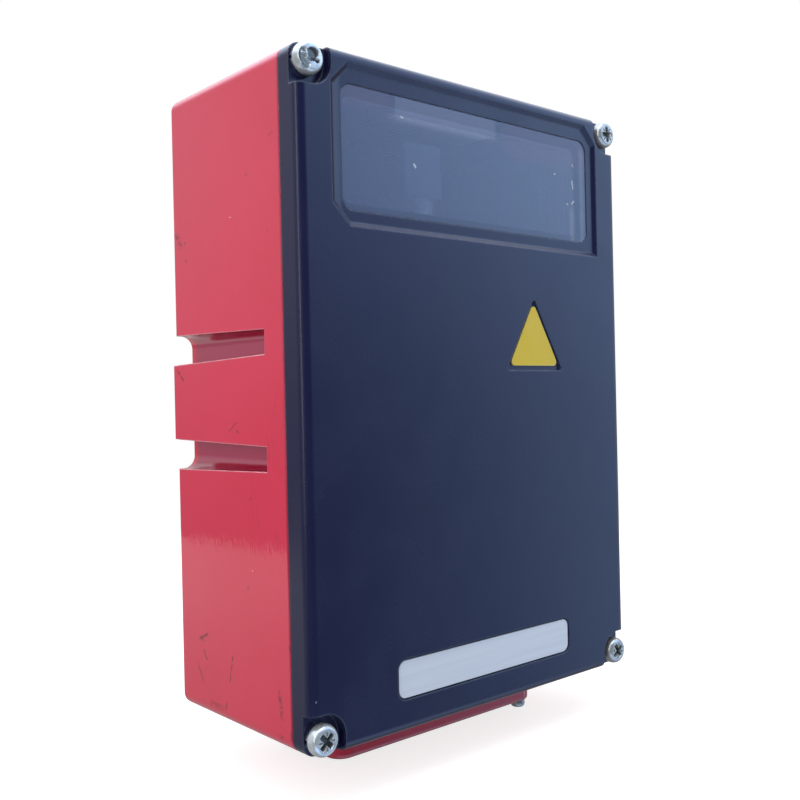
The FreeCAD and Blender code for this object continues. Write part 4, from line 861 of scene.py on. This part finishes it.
# %% Mouldings and rubber
def moulding(name, colour, shade, roughness):
    """Plastic whose colour changes slowly, with a fine matt grain."""
    plastic = Finish(name)
    texture = plastic.noise(1800, 2)
    tint = plastic.mix(plastic.fade(plastic.noise(90, 3), 0.3, 0.7), (*colour, 1), (*shade, 1))
    dull = plastic.fade(texture, 0.3, 0.7, roughness * 0.9, roughness * 1.15)
    return plastic.set(colour=tint, roughness=dull, normal=plastic.bump(texture, 0.012 * MM))


def painted_glow_moulding():
    """Pale moulding with painted light: a glow over the first few millimetres of its depth."""
    block = moulding("pale_moulding", (0.84, 0.85, 0.86), (0.78, 0.80, 0.82), 0.50)
    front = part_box("light_shield")[0].y
    # Painted light: the glow stands for daylight on the block's front.
    painted_daylight = block.fade(block.axes()[1], front + 3.0 * MM, front + 5.0 * MM, 1.0, 0.0)
    return block.set(glow=block.mix(painted_daylight, (0, 0, 0, 1), (0.80, 0.88, 1.0, 1)), glow_strength=0.10)


dress(moulding("seal_rubber", (0.020, 0.026, 0.060), (0.028, 0.034, 0.070), 0.55),
      "window_seal", "cover_gasket", "collar_gasket")
dress(moulding("black_insert", (0.016, 0.016, 0.018), (0.024, 0.024, 0.027), 0.46),
      "data_plug_insert", "service_socket_insert")
dress(moulding("black_moulding", (0.014, 0.014, 0.016), (0.022, 0.022, 0.024), 0.55),
      "laser_block", "lens_holder", "photodiode", "board_chips", "board_header")
dress(painted_glow_moulding(), "light_shield")
dress(moulding("shrink_sleeve", (0.012, 0.018, 0.045), (0.020, 0.026, 0.055), 0.30), "board_capacitors")

# %% [markdown]
# ## Boards and windings
# Board lacquer shows the copper tracks under it, which a brick pattern stands for, and a winding is
# a stack of fine wires, which is a wave pattern. Modelling either would cost far more than it shows.

# %% Boards and windings
def board_lacquer():
    """Green lacquer, lighter and raised where patches of tracks run under it."""
    board = Finish("board_lacquer")
    tracks = board.node("TexBrick", named={"Vector": board.place, "Scale": 180.0, "Mortar Size": 0.03})
    copper = board.calc("MULTIPLY", tracks.outputs["Fac"], board.fade(board.noise(150, 1), 0.45, 0.55))
    tint = board.mix(copper, (0.010, 0.075, 0.032, 1), (0.035, 0.150, 0.060, 1))
    return board.set(colour=tint, roughness=board.fade(board.noise(400, 2), 0.3, 0.7, 0.28, 0.38),
                     normal=board.bump(copper, 0.03 * MM))


def copper_winding():
    """Level strands of copper wire, smoother on their crests, with painted highlights there and painted
    shade between the strands.
    """
    wire = Finish("copper_winding")
    strands = wire.node("TexWave", named={"Vector": wire.place, "Scale": 900.0, "Distortion": 1.5},
                        bands_direction="Z").outputs["Fac"]
    # Painted light: brighter copper on the crests, painted shade between the strands.
    tint = wire.mix(strands, (0.30, 0.10, 0.04, 1), (0.62, 0.27, 0.12, 1))
    return wire.set(colour=tint, metallic=0.8, roughness=wire.fade(strands, 0.2, 0.8, 0.42, 0.28),
                    normal=wire.bump(strands, 0.06 * MM))


dress(board_lacquer(), "main_board", "receiver_board")
dress(copper_winding(), "motor_coils")

# %% [markdown]
# ## Floor
# The picture is a cut-out on white, but a reader that throws no shadow would seem to float. The floor
# is a disc just below it, made of rings like the screws. It belongs to the stage and not to the part.

# %% Floor
FLOOR_RADIUS, FLOOR_DROP = 0.9, 0.5 * MM


def floor_disc(radius, level, rings=24, columns=96):
    """A flat disc: rings of growing radius round the middle, with one face inside the first."""
    reach = np.linspace(0.02, 1, rings) * radius
    angle = np.arange(columns) / columns * 2 * math.pi
    x, y = reach[:, None] * np.cos(angle), reach[:, None] * np.sin(angle)
    points = np.stack([x, y, np.full_like(x, level)], axis=-1).reshape(-1, 3)
    faces = ring_faces(rings, columns).tolist()
    faces.append(list(range(columns)))
    return points, faces


points, faces = floor_disc(FLOOR_RADIUS, cad_box[0][2] - FLOOR_DROP)
floor_mesh = bpy.data.meshes.new("floor")
floor_mesh.from_pydata(points.tolist(), [], faces)
floor = bpy.data.objects.new("floor", floor_mesh)
bpy.context.scene.collection.objects.link(floor)
print("floor disc with", len(floor_mesh.polygons), "faces")

# %% [markdown]
# ## Finish of the floor
# The floor is pale and fades out towards its rim, so no horizon line shows. For camera rays a glow lifts
# it to white and leaves the shadow. Mirrored in the paint, it is pale behind the reader, glowing by itself,
# with a painted shadow that dims it close to the reader. It ends in a straight edge at the left like a
# sheet of paper, and is clear in front, where the room shows.

# %% Floor finish
WHITE_LIFT = 0.76
MIRRORED_SHADOWED_NEAR, MIRRORED_FAR, MIRRORED_RANGE = 0.38, 0.84, (0.02, 0.33)
SEEN_RIM, MIRRORED_RIM, CLEAR_FRONT = (0.38, 0.50), (0.48, 0.50), (0.02, -0.08)
LEFT_EDGE, LEFT_EDGE_SLANT, LEFT_EDGE_BLUR = -0.3106, 0.092, 2 * MM

pale = Finish("pale_floor")
grey = pale.mix(pale.noise(6, 2), (0.50, 0.50, 0.50, 1), (0.54, 0.54, 0.54, 1))
pale.set(colour=grey, roughness=0.7, gloss=0.2)
away = pale.node("VectorMath", (pale.place,), operation="LENGTH").outputs["Value"]
ray = pale.node("LightPath").outputs
lift = pale.calc("MULTIPLY", ray["Is Camera Ray"], WHITE_LIFT)
glow = pale.node("Emission", named={"Strength": lift}).outputs[0]
lifted = pale.node("AddShader", (pale.shader.outputs[0], glow)).outputs[0]
# Painted shadow: the floor as mirrored glows dimmer near the reader.
level = pale.fade(away, *MIRRORED_RANGE, MIRRORED_SHADOWED_NEAR, MIRRORED_FAR)
mirrored = pale.node("Emission", named={"Strength": level}).outputs[0]
seen = pale.node("MixShader", (ray["Is Glossy Ray"], lifted, mirrored)).outputs[0]

across, behind = pale.axes()[:2]
in_front = pale.fade(behind, *CLEAR_FRONT)
to_left = pale.calc("SUBTRACT", across, pale.calc("MULTIPLY", behind, LEFT_EDGE_SLANT))
past_left = pale.fade(to_left, LEFT_EDGE + LEFT_EDGE_BLUR, LEFT_EDGE - LEFT_EDGE_BLUR)
mirrored_rim = pale.most([pale.fade(away, *MIRRORED_RIM), past_left, in_front])
rim = pale.fade(ray["Is Glossy Ray"], 0.0, 1.0, pale.fade(away, *SEEN_RIM), mirrored_rim)
clear = pale.node("BsdfTransparent").outputs[0]
fading = pale.node("MixShader", (rim, seen, clear)).outputs[0]
pale.links.new(fading, pale.nodes["Material Output"].inputs[0])
dress(pale, floor)

# %% [markdown]
# ## World
# Glossy paint shows the room. The room is pale behind the reader and to its right and dim on the side
# of the camera, which gives the cover its darker left half. One even sky would show in the paint as
# fog, so the world has three levels: plain white where it is seen directly or through glass, the room
# for mirrored rays, and an even level for matt surfaces. The pairs are again the two ends of a fade.

# %% World
AMBIENT = 0.70
DIM, WINDOW, TABLE = 0.18, 1.85, 1.3
REAR_LOW, REAR_HIGH, CEILING = 0.34, 0.76, 1.5
REAR_TINT, CEILING_TINT, FRONT_TINT = (0.97, 0.98, 1.04, 1), (0.88, 0.99, 1.20, 1), (0.73, 1.08, 1.66, 1)
WHITE = (1, 1, 1, 1)
FRONT_RANGE, WINDOW_RANGE, TABLE_RANGE = (-0.15, -0.45), (0.46, 1.05), (-0.30, -0.55)
CEILING_RANGE, REAR_RANGE = (0.40, 0.65), (-0.14, 0.25)

world = bpy.data.worlds.new("studio")
world.use_nodes = True
bpy.context.scene.world = world
sky = Bench(world.node_tree)
x, y, z = sky.node("SeparateXYZ", (sky.node("TexCoord").outputs["Generated"],)).outputs
upward = sky.calc("MULTIPLY", sky.calc("MAXIMUM", z, 0.0), 0.9)
downward = sky.calc("MULTIPLY", sky.calc("MINIMUM", z, 0.0), 0.12)
toward_window = sky.calc("ADD", x, sky.calc("ADD", upward, downward))
dim_front = sky.fade(toward_window, *WINDOW_RANGE, DIM, WINDOW)
table = sky.fade(z, *TABLE_RANGE, 0.0, TABLE)
ceiling = sky.fade(z, *CEILING_RANGE)
pale_rear = sky.fade(z, *REAR_RANGE, REAR_LOW, REAR_HIGH)
pale_rear = sky.calc("ADD", pale_rear, sky.calc("MULTIPLY", ceiling, CEILING))
room = sky.fade(y, *FRONT_RANGE, pale_rear, sky.calc("MAXIMUM", dim_front, table))

ray = sky.node("LightPath").outputs
matt_or_mirrored = sky.fade(ray["Is Glossy Ray"], 0.0, 1.0, AMBIENT, room)
direct = sky.calc("MAXIMUM", ray["Is Camera Ray"], ray["Is Transmission Ray"])
sky.plug(sky.nodes["Background"].inputs["Strength"], sky.fade(direct, 0.0, 1.0, matt_or_mirrored, 1.0))
cool = sky.mix(ceiling, REAR_TINT, CEILING_TINT)
cool = sky.mix(sky.fade(y, *FRONT_RANGE), cool, FRONT_TINT)
cool = sky.mix(ray["Is Glossy Ray"], WHITE, cool)
sky.plug(sky.nodes["Background"].inputs["Color"], sky.mix(direct, cool, WHITE))
print("world with", len(sky.nodes), "nodes, ambient level", AMBIENT)

# %% [markdown]
# ## Lamps
# Two soft boxes shape the reader: one overhead and a tall one at the left, whose image is the thin light
# line down the rounded edge of the cover. A weak spot lifts the middle of the red side. It would show
# as a disc in the paint, so mirrored rays don't see it.

# %% Lamps
def hang(lamp, place, target):
    """Put a lamp at a place and turn it to its target."""
    thing = bpy.data.objects.new(lamp.name, lamp)
    thing.location = place
    thing.rotation_euler = (Vector(target) - Vector(place)).to_track_quat("-Z", "Y").to_euler()
    bpy.context.scene.collection.objects.link(thing)
    return thing


def soft_box(name, place, target, width, height, watts):
    """A lamp with a rectangular face."""
    lamp = bpy.data.lights.new(name, "AREA")
    lamp.shape = "RECTANGLE"
    lamp.size, lamp.size_y = width, height
    lamp.energy = watts
    hang(lamp, place, target)


soft_box("overhead_box", (-0.10, -0.20, 0.75), (0, -0.03, 0), 0.7, 0.7, 3.0)
soft_box("left_box", (-0.80, -0.22, 0.32), (0, -0.03, 0.05), 0.20, 0.9, 1.9)

glint = bpy.data.lights.new("side_spot", "SPOT")
glint.energy = 2.4
glint.spot_size, glint.spot_blend = math.radians(24), 1.0
glint.shadow_soft_size = 0.08
side_spot = hang(glint, (-0.60, -0.25, 0.02), (-0.0615, -0.03, 0.005))
side_spot.visible_glossy = False
bpy.context.scene.view_settings.view_transform = "Standard"
print("lamps:", [lamp.name for lamp in bpy.data.lights])

# %% [markdown]
# ## The dressed scene
# The solids, the new pieces, the floor, the world and the lamps are all in place.
